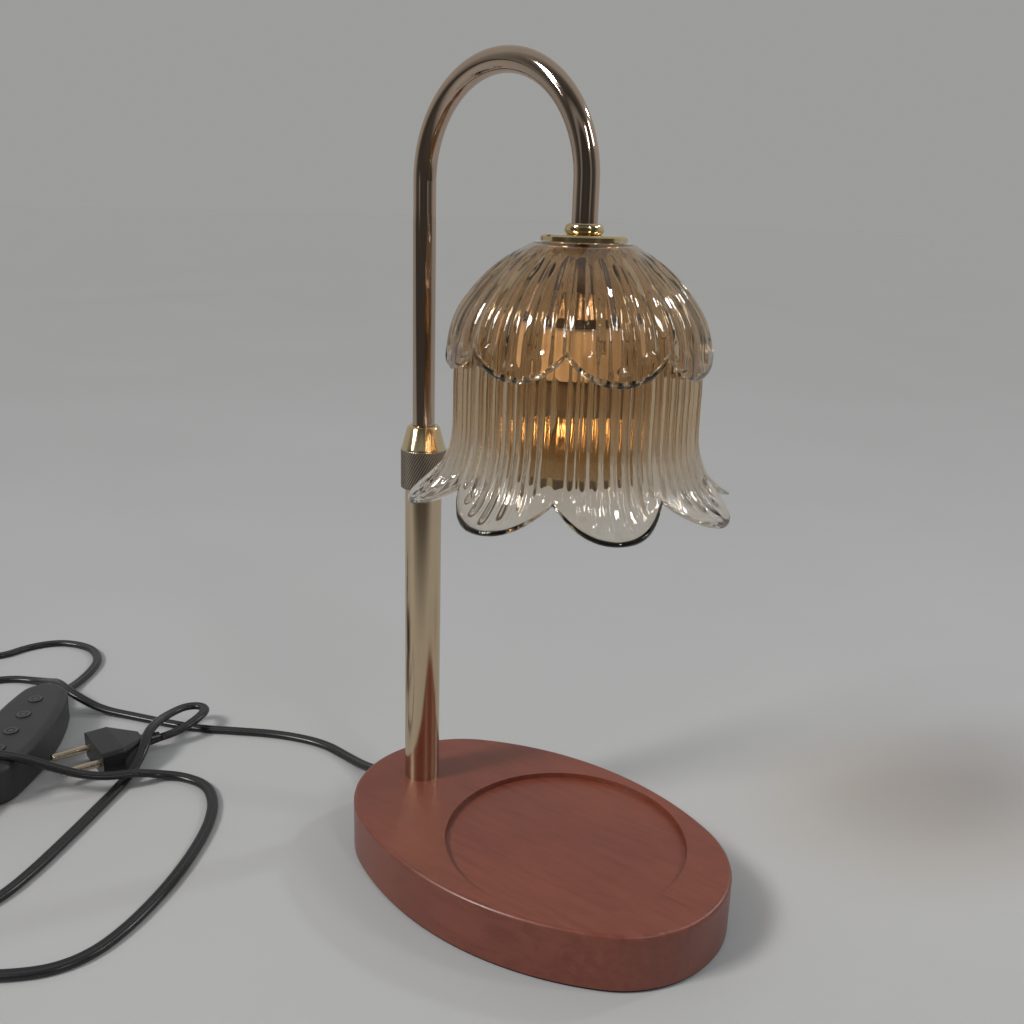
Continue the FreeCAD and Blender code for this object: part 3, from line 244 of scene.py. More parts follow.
# Turned brass, duller below its cone, with painted shade as dark stripes along the grooves of the knurl
def nut_material():
    n = Nodes("nut_brass")
    n.set(Metallic=1.0)
    coords = n.add("ShaderNodeTexCoord")
    split = n.add("ShaderNodeSeparateXYZ")
    n.join(coords, "Object", split, "Vector")
    cone = n.span(split, "Z", 0.0, 1.0, DULL_TOP, CONE_BOTTOM)
    side = n.arith("SUBTRACT", split, "X", STEM.x)
    around = n.arith("ARCTAN2", split, "Y")
    n.join(side, "Value", around, 1)
    teeth = n.arith("MULTIPLY", around, "Value", NUT_TEETH)
    climb = n.arith("MULTIPLY_ADD", split, "Z", -NUT_TEETH * NUT_LEAD / NUT_RADIUS)
    climb.inputs[2].default_value = KNURL_BOTTOM * NUT_TEETH * NUT_LEAD / NUT_RADIUS
    phase = n.arith("ADD", teeth, "Value")
    n.join(climb, "Value", phase, 1)
    groove = n.arith("SINE", phase, "Value")
    # Painted shade: the knurl's grooves are coloured almost black, standing in for the shade that falls in
    # them
    groove_shade_mask = n.span(groove, "Value", 0.0, 0.45, 0.8, -0.6)
    level = n.arith("MAXIMUM", groove_shade_mask, "Result")
    n.join(cone, "Result", level, 1)
    groove_painted_shade, side_gold, cone_gold = (0.12, 0.10, 0.08), (0.50, 0.43, 0.35), (0.66, 0.52, 0.31)
    tone = n.ramp(level, "Value", [(0.0, groove_painted_shade), (0.45, side_gold), (1.0, cone_gold)])
    n.join(tone, "Color", n.shader, "Base Color")
    rough = n.span(cone, "Result", 0.34, 0.13, 0.0, 1.0)
    n.join(rough, "Result", n.shader, "Roughness")
    return n.material


# Glass that goes from pale to deep between two heights and lets the lamps' light through
def glass_material(name, pale, deep, low, high, rough):
    n = Nodes(name)
    n.set(Transmission_Weight=1.0, IOR=1.5, Specular_Tint=(1.0, 0.94, 0.86, 1.0))
    n.set(Coat_Weight=0.30, Coat_Roughness=0.03)
    coords = n.add("ShaderNodeTexCoord")
    split = n.add("ShaderNodeSeparateXYZ")
    n.join(coords, "Object", split, "Vector")
    height = n.span(split, "Z", 0.0, 1.0, low, high)
    streak = n.noise(n.place((60.0, 60.0, 2.0)), 4.0, 4.0)
    wave = n.span(streak, "Fac", -0.12, 0.12)
    total = n.add("ShaderNodeMath", operation="ADD", use_clamp=True)
    n.join(height, "Result", total, 0)
    n.join(wave, "Result", total, 1)
    tone = n.ramp(total, "Value", [(0.0, pale), (1.0, deep)])
    n.join(tone, "Color", n.shader, "Base Color")
    n.join(n.span(streak, "Fac", rough * 0.5, rough), "Result", n.shader, "Roughness")
    path = n.add("ShaderNodeLightPath")
    clear = n.add("ShaderNodeBsdfTransparent")
    n.join(tone, "Color", clear, "Color")
    n.swap(path, "Is Shadow Ray", clear)
    return n.material


RIM_HEIGHT = 0.179
TINT_HEIGHT = 0.213
MATERIALS = {
    "stained_wood": wood_material(),
    "black_foam": moulded("black_foam", (0.020, 0.020, 0.020), 0.85, 1100.0, 0.00015),
    "black_plastic": moulded("black_plastic", (0.022, 0.022, 0.024), 0.46),
    "white_nylon": moulded("white_nylon", (0.78, 0.78, 0.75), 0.42, 600.0),
    "zinc_steel": gold_material("zinc_steel", (0.60, 0.60, 0.58), 0.32, (1, 1, 1), 0.00001),
    "champagne_gold": gold_material("champagne_gold", (0.60, 0.47, 0.32), 0.15, (1, 1, 0.03), 0.000001),
    "polished_gold": gold_material("polished_gold", (0.52, 0.40, 0.31), 0.08, (1, 1, 0.05), 0.000001),
    # Painted highlight: a brighter, yellower copy of polished gold for the top-lit collar and disc
    "painted_highlight_gold": gold_material("painted_highlight_gold", (0.70, 0.55, 0.32), 0.12, (1, 1, 1), 0.000001),
    "yellow_brass": gold_material("yellow_brass", (0.58, 0.45, 0.27), 0.24, (0.05, 0.05, 1), 0.000004),
    "clear_silicone": moulded("clear_silicone", (0.62, 0.62, 0.60), 0.35, 500.0),
    "amber_glass": glass_material(
        "amber_glass", (0.93, 0.88, 0.80), (0.75, 0.56, 0.36), RIM_HEIGHT, TINT_HEIGHT, 0.03
    ),
    "dark_metal": gold_material("dark_metal", (0.25, 0.24, 0.24), 0.30, (1, 1, 1), 0.00001),
    "white_ceramic": moulded("white_ceramic", (0.74, 0.73, 0.70), 0.22, 400.0),
    "bulb_ceramic": moulded("bulb_ceramic", (0.20, 0.19, 0.18), 0.30, 400.0),
    "reflector_glass": gold_material("reflector_glass", (0.62, 0.50, 0.32), 0.14, (1, 1, 1), 0.00002),
    "clear_glass": glass_material("clear_glass", (0.96, 0.97, 0.97), (0.96, 0.97, 0.97), 0.0, 1.0, 0.03),
    "black_cord": moulded("black_cord", (0.009, 0.009, 0.010), 0.30, 700.0, 0.00001),
    "green_board": moulded("green_board", (0.02, 0.12, 0.05), 0.4),
    "switch_black": moulded("switch_black", (0.03, 0.03, 0.03), 0.4),
    "button_black": moulded("button_black", (0.040, 0.040, 0.043), 0.38, 1200.0, 0.00002),
    "plug_black": moulded("plug_black", (0.010, 0.010, 0.011), 0.32, 900.0, 0.00002),
    "nickel_pin": gold_material("nickel_pin", (0.62, 0.52, 0.40), 0.20, (1, 1, 1), 0.000004),
}

# Pieces that get a brighter, yellower copy of their slot's polished gold, a painted highlight on the collar
# and the disc
LOOKS = {"neck_collar": "painted_highlight_gold", "cover_disc": "painted_highlight_gold"}
for part in frame["record"]["subparts"]:
    node = frame["nodes"][part["node"]]
    node.data.materials.clear()
    node.data.materials.append(MATERIALS[LOOKS.get(part["node"], part["material_slot"])])

# Cords: the heights of their middle line, and a flat section of two cores
FLOOR = 0.0023
SINK = 0.0007
CORE_RADIUS = 0.0016
CORE_OFFSET = 0.0011
CORE_STEPS = 9
COIL_CENTRE = Vector((-0.403, -0.092, FLOOR))
COIL_TURN = math.radians(159.5)
COIL_RADII = [0.0314, 0.0286, 0.0258, 0.0286, 0.0314]
COIL_CLIMB = 2
COIL_LAYER = 0.0051
COIL_POINTS = 7

LAMP_ROUTE = [
    (-0.09274, 0.012, 0.0075), (-0.104, 0.012, 0.0073), (-0.1175, 0.0138, 0.0042), (-0.134, 0.0172, FLOOR),
    (-0.154, 0.019, FLOOR), (-0.179, 0.011, FLOOR), (-0.201, -0.0025, FLOOR), (-0.219, -0.014, FLOOR),
    (-0.2385, -0.0212, FLOOR), (-0.259, -0.028, FLOOR), (-0.277, -0.036, 0.0036), (-0.2895, -0.041, 0.0084),
    (-0.3005, -0.0424, 0.0108), (-0.3155, -0.0404, 0.0108), (-0.3285, -0.0376, 0.0056),
    (-0.3425, -0.0386, FLOOR), (-0.3565, -0.0465, FLOOR), (-0.3645, -0.060, FLOOR),
    (-0.36497, -0.07995, FLOOR),
]
DIMMER_ROUTE = [
    (-0.4266, -0.06546, 0.0074), (-0.417, -0.0515, 0.0044), (-0.403, -0.0445, FLOOR), (-0.3915, -0.034, FLOOR),
    (-0.3925, -0.0155, FLOOR), (-0.385, 0.0005, FLOOR), (-0.371, 0.0076, FLOOR), (-0.3565, 0.0086, FLOOR),
    (-0.341, 0.0022, FLOOR), (-0.330, -0.0095, FLOOR), (-0.321, -0.024, FLOOR), (-0.3127, -0.0383, 0.0044),
    (-0.30573, -0.04592, 0.006),
]
PLUG_ROUTE = [
    (-0.22707, -0.13388, 0.006), (-0.2205, -0.1413, 0.0052), (-0.2165, -0.1545, 0.0029),
    (-0.2225, -0.1685, FLOOR),
    (-0.237, -0.176, FLOOR), (-0.2525, -0.1735, FLOOR), (-0.265, -0.1635, 0.0034), (-0.270, -0.1495, 0.0105),
    (-0.2635, -0.136, 0.0195), (-0.253, -0.1258, 0.0234), (-0.240, -0.115, 0.0234), (-0.229, -0.1073, 0.0216),
    (-0.219, -0.0988, 0.0165), (-0.2095, -0.0895, 0.0116), (-0.2025, -0.0795, 0.0086),
    (-0.1965, -0.069, 0.0082),
    (-0.1935, -0.059, 0.0042), (-0.184, -0.050, FLOOR), (-0.168, -0.0472, FLOOR), (-0.153, -0.0543, FLOOR),
    (-0.1405, -0.066, FLOOR), (-0.1295, -0.081, FLOOR), (-0.119, -0.099, FLOOR), (-0.1105, -0.1175, FLOOR),
    (-0.1043, -0.1355, FLOOR), (-0.1018, -0.1515, FLOOR), (-0.1055, -0.1655, FLOOR), (-0.115, -0.177, FLOOR),
    (-0.1275, -0.1875, FLOOR), (-0.142, -0.1915, FLOOR), (-0.155, -0.1835, FLOOR), (-0.161, -0.170, FLOOR),
    (-0.1625, -0.1545, FLOOR), (-0.1685, -0.1385, FLOOR), (-0.177, -0.1205, FLOOR), (-0.188, -0.0985, FLOOR),
    (-0.199, -0.077, FLOOR), (-0.204, -0.0655, 0.0044), (-0.2086, -0.0554, 0.010), (-0.2173, -0.0466, 0.0136),
    (-0.2236, -0.0374, 0.0134), (-0.2295, -0.0284, 0.0114), (-0.2328, -0.0196, 0.0102),
    (-0.2334, -0.0114, 0.010), (-0.2286, -0.0052, 0.010), (-0.2216, -0.006, 0.010), (-0.2174, -0.0132, 0.010),
    (-0.2156, -0.022, 0.0092), (-0.2168, -0.0303, 0.0072), (-0.219, -0.0385, 0.007),
]


# Half turns that wind in on the floor, climb one layer and wind out again
def coil_points():
    axis = Vector((math.cos(COIL_TURN), math.sin(COIL_TURN), 0))
    heading = Vector((-axis.y, axis.x, 0))
    point = COIL_CENTRE - axis * COIL_RADII[0]
    points = []
    height = 0.0
    for i, radius in enumerate(COIL_RADII):
        centre = point + axis * radius
        outer = radius / math.cos(math.pi / (2 * COIL_POINTS))
        for k in range(COIL_POINTS):
            share = (k + 0.5) / COIL_POINTS
            rise = COIL_LAYER * share if i == COIL_CLIMB else 0.0
            angle = math.pi * share
            spot = centre - axis * (outer * math.cos(angle)) + heading * (outer * math.sin(angle))
            points.append((spot.x, spot.y, spot.z + rise))
        point = point + axis * (2 * radius)
        if i == COIL_CLIMB:
            point.z += COIL_LAYER
        axis = -axis
        heading = -heading
    return points


# A smooth line along the points, laid lower by SINK, as the points of a mesh
def spline_path(name, points):
    curve = bpy.data.curves.new(name, "CURVE")
    curve.dimensions = "3D"
    spline = curve.splines.new("NURBS")
    spline.points.add(len(points) - 1)
    for place, point in zip(spline.points, points):
        place.co = (point[0], point[1], point[2] - SINK, 1.0)
    spline.order_u = 3
    spline.use_endpoint_u = True
    spline.resolution_u = 10
    holder = link(bpy.data.objects.new(name, curve))
    graph = bpy.context.evaluated_depsgraph_get()
    mesh = bpy.data.meshes.new_from_object(holder.evaluated_get(graph))
    path = [v.co.copy() for v in mesh.vertices]
    bpy.data.objects.remove(holder)
    bpy.data.curves.remove(curve)
    bpy.data.meshes.remove(mesh)
    return path


# Two cores side by side with a groove between them
def twin_section():
    gap = math.acos(CORE_OFFSET / CORE_RADIUS)
    half = []
    for k in range(CORE_STEPS + 1):
        angle = -(math.pi - gap) + 2 * (math.pi - gap) * k / CORE_STEPS
        half.append((CORE_OFFSET + CORE_RADIUS * math.cos(angle), CORE_RADIUS * math.sin(angle)))
    return half[:-1] + [(-x, -y) for x, y in half[:-1]]


# The two-core section carried along a path, with its flat side level
def twin_cord(name, path):
    section = twin_section()
    points = []
    up = Vector((0, 0, 1))
    for i, here in enumerate(path):
        ahead = path[min(i + 1, len(path) - 1)] - path[max(i - 1, 0)]
        side = up.cross(ahead).normalized()
        top = ahead.cross(side).normalized()
        points += [here + side * x + top * y for x, y in section]
    faces = grid_faces(len(path), len(section), False)
    faces.append(tuple(reversed(range(len(section)))))
    last = (len(path) - 1) * len(section)
    faces.append(tuple(last + k for k in range(len(section))))
    return mesh_object(name, points, faces, MATERIALS["black_cord"])


lamp_path = spline_path("lamp_path", LAMP_ROUTE + coil_points() + DIMMER_ROUTE)
lamp_flex = twin_cord("lamp_flex", lamp_path)
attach(lamp_flex, "base")
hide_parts("lamp_cord", "cord_coil", "dimmer_cord")
plug_path = spline_path("plug_path", PLUG_ROUTE)
plug_flex = twin_cord("plug_flex", plug_path)
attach(plug_flex, "base")
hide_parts("plug_cord")

# Glass shade: profiles as radius and height, and petals as notch height, lobe height and tip radius
PETALS = 8
COLUMNS = 720
DOME_POINTS, BELL_POINTS, INNER_POINTS = 90, 130, 130
DOME_ROWS, BELL_ROWS, INNER_ROWS = 64, 84, 70
DOME_STEP, BELL_STEP = 0.00075, 0.00066
SPLINE_STEPS = 24
NECK_HOLE = [(0.0053, 0.2714), (0.0053, 0.2740)]
UPPER_EDGE = (0.2396, 0.2300, 0.0479)
LOWER_EDGE = (0.1910, 0.1810, 0.0625)
INNER_EDGE = (0.1906, 0.1806, 0.0612)
UPPER_FIRST = math.radians(-62.0)
LOWER_FIRST = math.radians(-64.4)
DOME = [
    (0.0175, 0.2740), (0.0267, 0.2688), (0.0340, 0.2630), (0.0406, 0.2556), (0.0450, 0.2488),
    (0.0475, 0.2415), (0.0481, 0.2350), (0.0479, 0.2300), (0.0478, 0.2270),
]
BELL = [
    (0.0449, 0.2440), (0.0449, 0.2380), (0.0455, 0.2260), (0.0455, 0.2150), (0.0458, 0.2050), (0.0476, 0.1974),
    (0.0510, 0.1907), (0.0562, 0.1856), (0.0625, 0.1810), (0.0640, 0.1800),
]
INNER = [
    (0.0165, 0.2714), (0.0240, 0.2660), (0.0310, 0.2602), (0.0370, 0.2535), (0.0408, 0.2470), (0.0423, 0.2400),
    (0.0429, 0.2260), (0.0429, 0.2150), (0.0433, 0.2045), (0.0452, 0.1963), (0.0493, 0.1889),
    (0.0546, 0.1836), (0.0612, 0.1790), (0.0630, 0.1778),
]


# Points along a profile by arc length, smoothed by cubic pieces
def profile(points, count):
    pts = [Vector((r, z)) for r, z in points]
    dense = []
    for i in range(len(pts) - 1):
        a = pts[max(i - 1, 0)]
        b, c = pts[i], pts[i + 1]
        d = pts[min(i + 2, len(pts) - 1)]
        for k in range(SPLINE_STEPS):
            t = k / SPLINE_STEPS
            dense.append(0.5 * (
                2 * b + (c - a) * t + (2 * a - 5 * b + 4 * c - d) * t * t + (3 * b - a - 3 * c + d) * t ** 3
            ))
    dense.append(pts[-1])
    marks = [0.0]
    for p, q in zip(dense, dense[1:]):
        marks.append(marks[-1] + (q - p).length)
    out = []
    j = 0
    for k in range(count):
        goal = marks[-1] * k / (count - 1)
        while j < len(marks) - 2 and marks[j + 1] < goal:
            j += 1
        t = (goal - marks[j]) / (marks[j + 1] - marks[j])
        out.append(dense[j].lerp(dense[j + 1], t))
    return out


# Signed angle from the nearest petal's middle
def petal_angle(theta, first):
    step = 2 * math.pi / PETALS
    return (theta - first) % step - step / 2


# Height of a petal's edge at an angle and radius
def edge_height(theta, radius, first, notch_z, lobe_z, tip):
    half = tip * math.sin(math.pi / PETALS)
    rise = notch_z - lobe_z
    arc = (half ** 2 + rise ** 2) / (2 * rise)
    off = math.pi / PETALS - abs(petal_angle(theta, first))
    across = min(radius * math.sin(off), half)
    return lobe_z + arc - math.sqrt(max(arc ** 2 - (half - across) ** 2, 0.0))


# Place on a profile, past the start, where it meets the petal's edge
def edge_mark(line, theta, first, notch_z, lobe_z, tip, start):
    for i in range(start, len(line) - 1):
        a = line[i].y - edge_height(theta, line[i].x, first, notch_z, lobe_z, tip)
        b = line[i + 1].y - edge_height(theta, line[i + 1].x, first, notch_z, lobe_z, tip)
        if a >= 0 > b:
            return i + a / (a - b)
    return len(line) - 1.0


NORMAL_REACH = 0.6


def sample(line, mark):
    mark = min(max(mark, 0.0), len(line) - 1.0)
    i = min(int(mark), len(line) - 2)
    return line[i].lerp(line[i + 1], mark - i)


def normal(line, mark):
    a, b = sample(line, mark - NORMAL_REACH), sample(line, mark + NORMAL_REACH)
    t = (b - a).normalized()
    return Vector((-t.y, t.x))


def smoothstep(a, b, x):
    t = min(max((x - a) / (b - a), 0.0), 1.0)
    return t * t * (3 - 2 * t)


# Rounded channel across an angle, 1 in its middle and 0 at its sides
def channel(offset, half_width):
    x = abs(offset) / half_width
    return 0.0 if x >= 1 else (1 - x * x) ** 1.5


# Flutes: angle from the petal's middle in degrees, height of the lower end, half width in degrees
DEG = math.pi / 180
UPPER_FLUTES = [(-11.5, 0.2390, 4.6), (0.0, 0.2345, 4.9), (11.5, 0.2390, 4.6)]
LOWER_FLUTES = [
    (-16.5, 0.1912, 2.6), (-11.2, 0.1872, 2.6), (-5.6, 0.1843, 2.6), (0.0, 0.1828, 2.6), (5.6, 0.1843, 2.6),
    (11.2, 0.1872, 2.6), (16.5, 0.1912, 2.6),
]
UPPER_FLUTE_DEPTH = 0.0012
LOWER_FLUTE_DEPTH = 0.0014
UPPER_FLUTE_TOP, UPPER_FLUTE_FADE = 0.2725, 0.008
LOWER_FLUTE_TOP, LOWER_FLUTE_FADE = 0.30, 0.01
FLUTE_END_BELOW, FLUTE_END_ABOVE = 0.0012, 0.0030
UPPER_CREASE, LOWER_CREASE = 0.0007, 0.0006
CREASE_ANGLE = 1.6
CREASE_FADE = (0.262, 0.272)


# Depth of the flutes at an angle and height: hollows with round lower ends
def flute_depth(theta, z, first, flutes, depth, top_z, top_fade):
    offset = petal_angle(theta, first) / DEG
    total = 0.0
    for middle, end_z, half in flutes:
        across = channel(offset - middle, half)
        total = max(total, across * smoothstep(end_z - FLUTE_END_BELOW, end_z + FLUTE_END_ABOVE, z))
    return depth * total * (1 - smoothstep(top_z - top_fade, top_z, z))


# Crease between two petals
def crease_at(theta, first, depth):
    off = (math.pi / PETALS - abs(petal_angle(theta, first))) / DEG
    return -depth * math.exp(-(off / CREASE_ANGLE) ** 2)


# Bead along a petal's edge: its height, distance from the edge and width, then the edge's rounding
UPPER_BEAD = (0.00035, 0.0009, 0.0006, 0.0005, 0.0006)
LOWER_BEAD = (0.0004, 0.0011, 0.0007, 0.0006, 0.0007)


def bead_at(left, height, place, width, drop, round_width):
    bead = height * math.exp(-((left - place) / width) ** 2)
    return bead - drop * (1 - smoothstep(0.0, round_width, left))


# The dome's lip as steps in and down from its edge, and the bell's start above that edge
DOME_LIP = ((-0.0006, -0.00045), (-0.0014, -0.00030), (-0.0021, 0.0003))
BELL_START = 0.0011
# The rim as a share of the way from the outside to the inside, and how far it bulges
RIM = ((0.25, 0.00045), (0.5, 0.0006), (0.75, 0.00045))
# First place on each profile where its petals' edge is looked for
DOME_FROM, BELL_FROM, INNER_FROM = 30, 40, 50
# Ribs on the inside: height, spacing in degrees, and the heights where they fade in and out
RIB, RIB_STEP = 0.00018, 5.6
RIB_IN = (0.190, 0.198)
RIB_OUT = (0.250, 0.262)


def dome_column(dome, theta):
    column = []
    top = edge_mark(dome, theta, UPPER_FIRST, *UPPER_EDGE, DOME_FROM)
    for i in range(DOME_ROWS):
        mark = top * i / (DOME_ROWS - 1)
        p, nrm = sample(dome, mark), normal(dome, mark)
        sink = flute_depth(
            theta, p.y, UPPER_FIRST, UPPER_FLUTES, UPPER_FLUTE_DEPTH, UPPER_FLUTE_TOP, UPPER_FLUTE_FADE
        )
        crease = crease_at(theta, UPPER_FIRST, UPPER_CREASE) * (1 - smoothstep(*CREASE_FADE, p.y))
        p = p + nrm * (bead_at((top - mark) * DOME_STEP, *UPPER_BEAD) - sink + crease)
        column.append((p.x, p.y))
    edge = sample(dome, top)
    column += [(edge.x + out, edge.y + down) for out, down in DOME_LIP]
    return column, edge.y


def bell_column(bell, theta, start_z, low):
    column = []
    first = next(i for i in range(len(bell) - 1) if bell[i + 1].y <= start_z)
    for i in range(BELL_ROWS):
        mark = first + (low - first) * i / (BELL_ROWS - 1)
        p, nrm = sample(bell, mark), normal(bell, mark)
        sink = flute_depth(
            theta, p.y, LOWER_FIRST, LOWER_FLUTES, LOWER_FLUTE_DEPTH, LOWER_FLUTE_TOP, LOWER_FLUTE_FADE
        )
        crease = crease_at(theta, LOWER_FIRST, LOWER_CREASE)
        p = p + nrm * (bead_at((low - mark) * BELL_STEP, *LOWER_BEAD) - sink + crease)
        column.append((p.x, p.y))
    return column


def rim_column(edge, nrm, back):
    along = Vector((nrm.y, -nrm.x))
    if along.y > 0:
        along = -along
    steps = [edge.lerp(back, share) + along * out for share, out in RIM]
    return [(p.x, p.y) for p in steps]


def inner_column(inner, theta, low):
    column = []
    offset = petal_angle(theta, LOWER_FIRST) / DEG
    for i in range(INNER_ROWS):
        mark = low * (1 - i / (INNER_ROWS - 1))
        p, nrm = sample(inner, mark), normal(inner, mark)
        wave = RIB * math.cos(2 * math.pi * offset / RIB_STEP)
        wave *= smoothstep(*RIB_IN, p.y) * (1 - smoothstep(*RIB_OUT, p.y))
        p = p - nrm * wave
        column.append((p.x, p.y))
    return column


# One closed column of points per angle: neck, dome, lip, bell, rim and inside
def build_shade():
    dome = profile(DOME, DOME_POINTS)
    bell = profile(BELL, BELL_POINTS)
    inner = profile(INNER, INNER_POINTS)
    columns = []
    for k in range(COLUMNS):
        theta = 2 * math.pi * k / COLUMNS
        outside, edge_z = dome_column(dome, theta)
        low = edge_mark(bell, theta, LOWER_FIRST, *LOWER_EDGE, BELL_FROM)
        in_low = edge_mark(inner, theta, LOWER_FIRST, *INNER_EDGE, INNER_FROM)
        columns.append(
            NECK_HOLE + outside
            + bell_column(bell, theta, edge_z + BELL_START, low)
            + rim_column(sample(bell, low), normal(bell, low), sample(inner, in_low))
            + inner_column(inner, theta, in_low)
        )
    rows = len(columns[0])
    points = []
    for i in range(rows):
        for k in range(COLUMNS):
            theta = 2 * math.pi * k / COLUMNS
            r, z = columns[k][i]
            points.append((SHADE.x + r * math.cos(theta), SHADE.y + r * math.sin(theta), z))
    faces = [tuple(reversed(face)) for face in grid_faces(rows, COLUMNS, True)]
    shade = mesh_object("shade_glass", points, faces, MATERIALS["amber_glass"])
    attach(shade, "arm")
    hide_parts("glass_shade")


build_shade()

# Knurled nut: radius, height, and 1 at the two ends of the knurl
NUT_RADIUS = 0.00985
KNURL_BOTTOM = 0.1676
KNURL_TOP = 0.1835
DULL_TOP = 0.1836
CONE_BOTTOM = 0.1842
NUT_PROFILE = [
    (0.0082, 0.1670, 0), (0.00935, 0.1670, 0), (0.00972, 0.16715, 0),
    (NUT_RADIUS, KNURL_BOTTOM, 1), (NUT_RADIUS, KNURL_TOP, 1),
    (0.00972, 0.1838, 0), (0.0095, 0.1840, 0), (0.0095, 0.1846, 0), (0.00935, 0.1848, 0), (0.0071, 0.1934, 0),
    (0.0066, 0.19385, 0), (0.00625, 0.1943, 0), (0.00495, 0.1943, 0), (0.00495, 0.1911, 0),
    (0.0053, 0.1911, 0), (0.0073, 0.1845, 0), (0.00748, 0.1843, 0), (0.00748, 0.1738, 0), (0.0082, 0.1738, 0),
]
NUT_COLUMNS = 540
NUT_TEETH = 54
NUT_LEAD = 0.58
NUT_CUT = 0.00020
KNURL_ROWS = 24


def build_nut():
    rows = []
    for i, (r, z, cut) in enumerate(NUT_PROFILE):
        rows.append((r, z, cut))
        if cut and NUT_PROFILE[i + 1][2]:
            rise = NUT_PROFILE[i + 1][1] - z
            rows += [(r, z + rise * k / KNURL_ROWS, 1) for k in range(1, KNURL_ROWS)]
    points = []
    for r, z, cut in rows:
        for k in range(NUT_COLUMNS):
            theta = 2 * math.pi * k / NUT_COLUMNS
            wave = math.sin(NUT_TEETH * theta - (z - KNURL_BOTTOM) / r * NUT_TEETH * NUT_LEAD)
            radius = r - cut * NUT_CUT * (1 + wave)
            points.append((STEM.x + radius * math.cos(theta), STEM.y + radius * math.sin(theta), z))
    nut = mesh_object("knurled_nut", points, grid_faces(len(rows), NUT_COLUMNS, True), nut_material())
    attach(nut, "nut")
    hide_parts("lock_nut")


build_nut()

# Floor, light and surroundings: metal mirrors a dark room on the side of the photographer
ROOM_SIDE = (0.50, -0.86, 0.0)
ROOM_FLOOR_START, ROOM_FLOOR_END = 0.18, 0.45
ROOM_FLOOR = (0.07, 0.065, 0.06, 1.0)
ROOM_LEVELS = [
    (0.0, 0.42), (0.45, 0.40), (0.62, 0.10), (0.80, 0.05), (0.88, 0.30), (0.93, 0.04), (1.0, 0.06),
]
SKY_COLOR = (0.96, 0.98, 1.0, 1.0)
SKY_STRENGTH = 0.42
BACKDROP = (0.334, 0.334, 0.328, 1.0)
FLOOR_HALF = 30.0


def floor_material():
    n = Nodes("floor_paint")
    n.set(Specular_IOR_Level=0.25)
    cloud = n.noise(n.place(), 3.0, 4.0)
    tone = n.ramp(cloud, "Fac", [(0.3, (0.362, 0.362, 0.358)), (0.7, (0.380, 0.380, 0.376))])
    n.join(tone, "Color", n.shader, "Base Color")
    n.join(n.span(cloud, "Fac", 0.55, 0.65), "Result", n.shader, "Roughness")
    coords = n.add("ShaderNodeTexCoord")
    toward = n.add("ShaderNodeVectorMath", operation="DOT_PRODUCT")
    toward.inputs[1].default_value = ROOM_SIDE
    n.join(coords, "Object", toward, 0)
    far = n.span(toward, "Value", 0.0, 1.0, ROOM_FLOOR_START, ROOM_FLOOR_END)
    share = n.arith("MULTIPLY", far, "Result")
    n.join(n.add("ShaderNodeLightPath"), "Is Glossy Ray", share, 1)
    dark = n.add("ShaderNodeBsdfDiffuse")
    dark.inputs["Color"].default_value = ROOM_FLOOR
    n.swap(share, "Value", dark)
    return n.material


def build_stage():
    half = FLOOR_HALF
    corners = [(-half, -half, 0), (half, -half, 0), (half, half, 0), (-half, half, 0)]
    floor = mesh_object("stage_floor", corners, [(0, 1, 2, 3)], floor_material(), False)


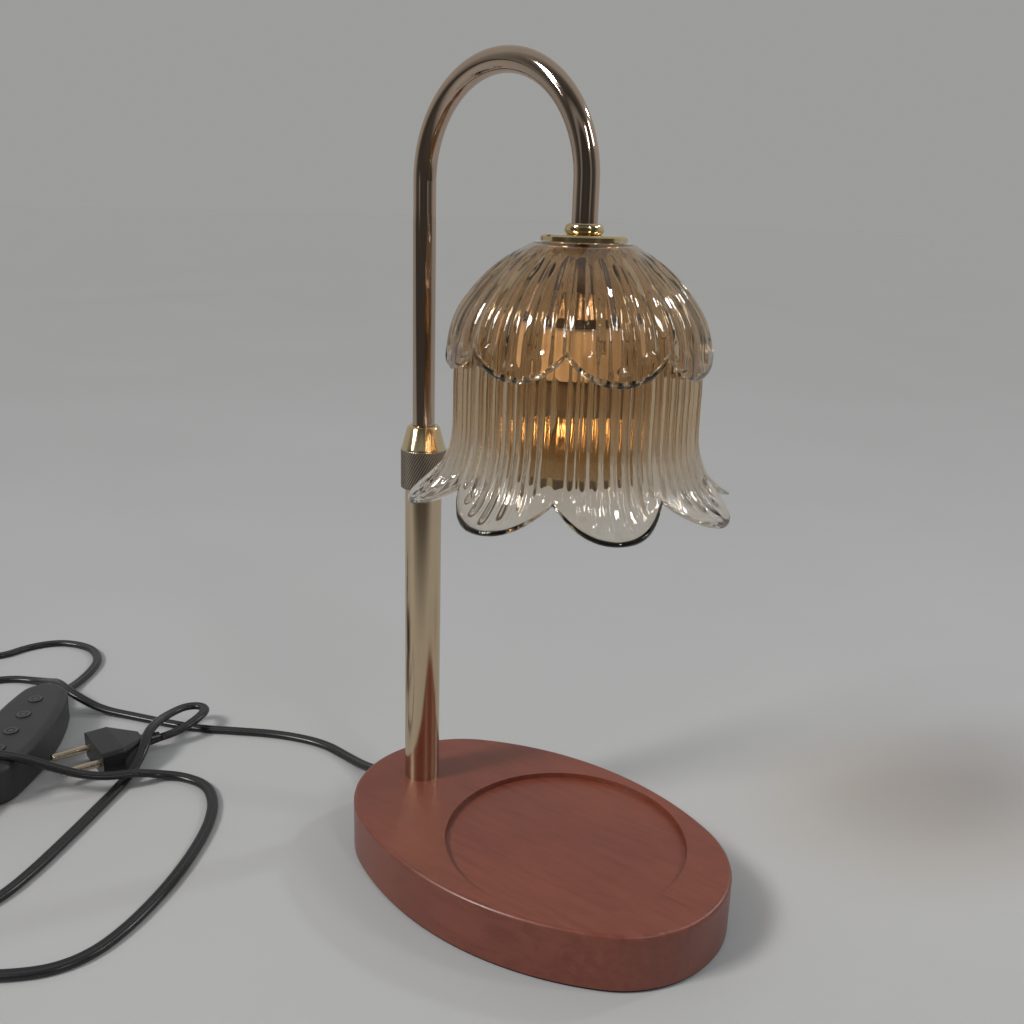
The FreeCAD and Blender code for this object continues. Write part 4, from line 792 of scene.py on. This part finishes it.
# Even light for matt surfaces, the dark room for mirrors, a plain backdrop for the camera and glass
def build_world():
    world = bpy.data.worlds.new("studio")
    bpy.context.scene.world = world
    world.use_nodes = True
    tree = world.node_tree
    tree.nodes.clear()

    def add(kind, operation=None):
        node = tree.nodes.new(kind)
        if operation:
            node.operation = operation
        return node

    def join(a, out, b, into):
        tree.links.new(a.outputs[out], b.inputs[into])

    light = add("ShaderNodeBackground")
    light.inputs["Color"].default_value = SKY_COLOR
    light.inputs["Strength"].default_value = SKY_STRENGTH
    seen = add("ShaderNodeBackground")
    seen.inputs["Color"].default_value = BACKDROP
    toward = add("ShaderNodeVectorMath", "DOT_PRODUCT")
    toward.inputs[1].default_value = ROOM_SIDE
    half = add("ShaderNodeMapRange")
    half.inputs["From Min"].default_value = -1.0
    dark = add("ShaderNodeValToRGB")
    while len(dark.color_ramp.elements) < len(ROOM_LEVELS):
        dark.color_ramp.elements.new(0.5)
    for element, (spot, level) in zip(dark.color_ramp.elements, ROOM_LEVELS):
        element.position = spot
        element.color = (level, level, level * 0.97, 1.0)
    room = add("ShaderNodeBackground")
    join(add("ShaderNodeTexCoord"), "Generated", toward, 0)
    join(toward, "Value", half, "Value")
    join(half, "Result", dark, "Fac")
    join(dark, "Color", room, "Color")
    path = add("ShaderNodeLightPath")
    plain = add("ShaderNodeMath", "MAXIMUM")
    join(path, "Is Camera Ray", plain, 0)
    join(path, "Is Transmission Ray", plain, 1)
    shine = add("ShaderNodeMixShader")
    join(path, "Is Glossy Ray", shine, "Fac")
    join(light, "Background", shine, 1)
    join(room, "Background", shine, 2)
    mix = add("ShaderNodeMixShader")
    join(plain, "Value", mix, "Fac")
    join(shine, "Shader", mix, 1)
    join(seen, "Background", mix, 2)
    join(mix, "Shader", add("ShaderNodeOutputWorld"), "Surface")


def area_light(name, place, size, power, color):
    data = bpy.data.lights.new(name, "AREA")
    data.shape = "RECTANGLE"
    data.size, data.size_y = size
    data.energy = power
    data.color = color
    lamp = link(bpy.data.objects.new(name, data))
    lamp.location = place
    lamp.rotation_euler = (DOME_MIDDLE - Vector(place)).to_track_quat("-Z", "Y").to_euler()


def sun_light(name, place, angle, strength, color):
    data = bpy.data.lights.new(name, "SUN")
    data.angle = math.radians(angle)
    data.energy = strength
    data.color = color
    lamp = link(bpy.data.objects.new(name, data))
    lamp.rotation_euler = (-Vector(place)).to_track_quat("-Z", "Y").to_euler()


# Suns: direction they come from, angle, strength, colour
SUNS = [
    ("key_sun", (-0.48, -0.88, 0.95), 14.0, 1.75, (1.0, 0.98, 0.95)),
    ("side_sun", (0.44, 0.90, 0.72), 4.0, 0.45, (0.92, 0.96, 1.0)),
]
# Windows that shine on the dome and give the glass its highlights: place, size, power, colour
DOME_MIDDLE = Vector((0.019, -0.011, 0.247))
DAYLIGHT = (0.94, 0.97, 1.0)
WINDOWS = [
    ("window_left", (-0.49, -0.85, 0.94), (0.12, 0.34), 2.4, DAYLIGHT),
    ("window_right", (0.93, -0.385, 0.94), (0.10, 0.34), 2.0, DAYLIGHT),
    ("window_side", (0.88, 0.46, 0.94), (0.12, 0.34), 2.2, DAYLIGHT),
]

build_stage()
build_world()
for sun in SUNS:
    sun_light(*sun)
for window in WINDOWS:
    area_light(*window)

bpy.context.scene.view_settings.view_transform = "Standard"
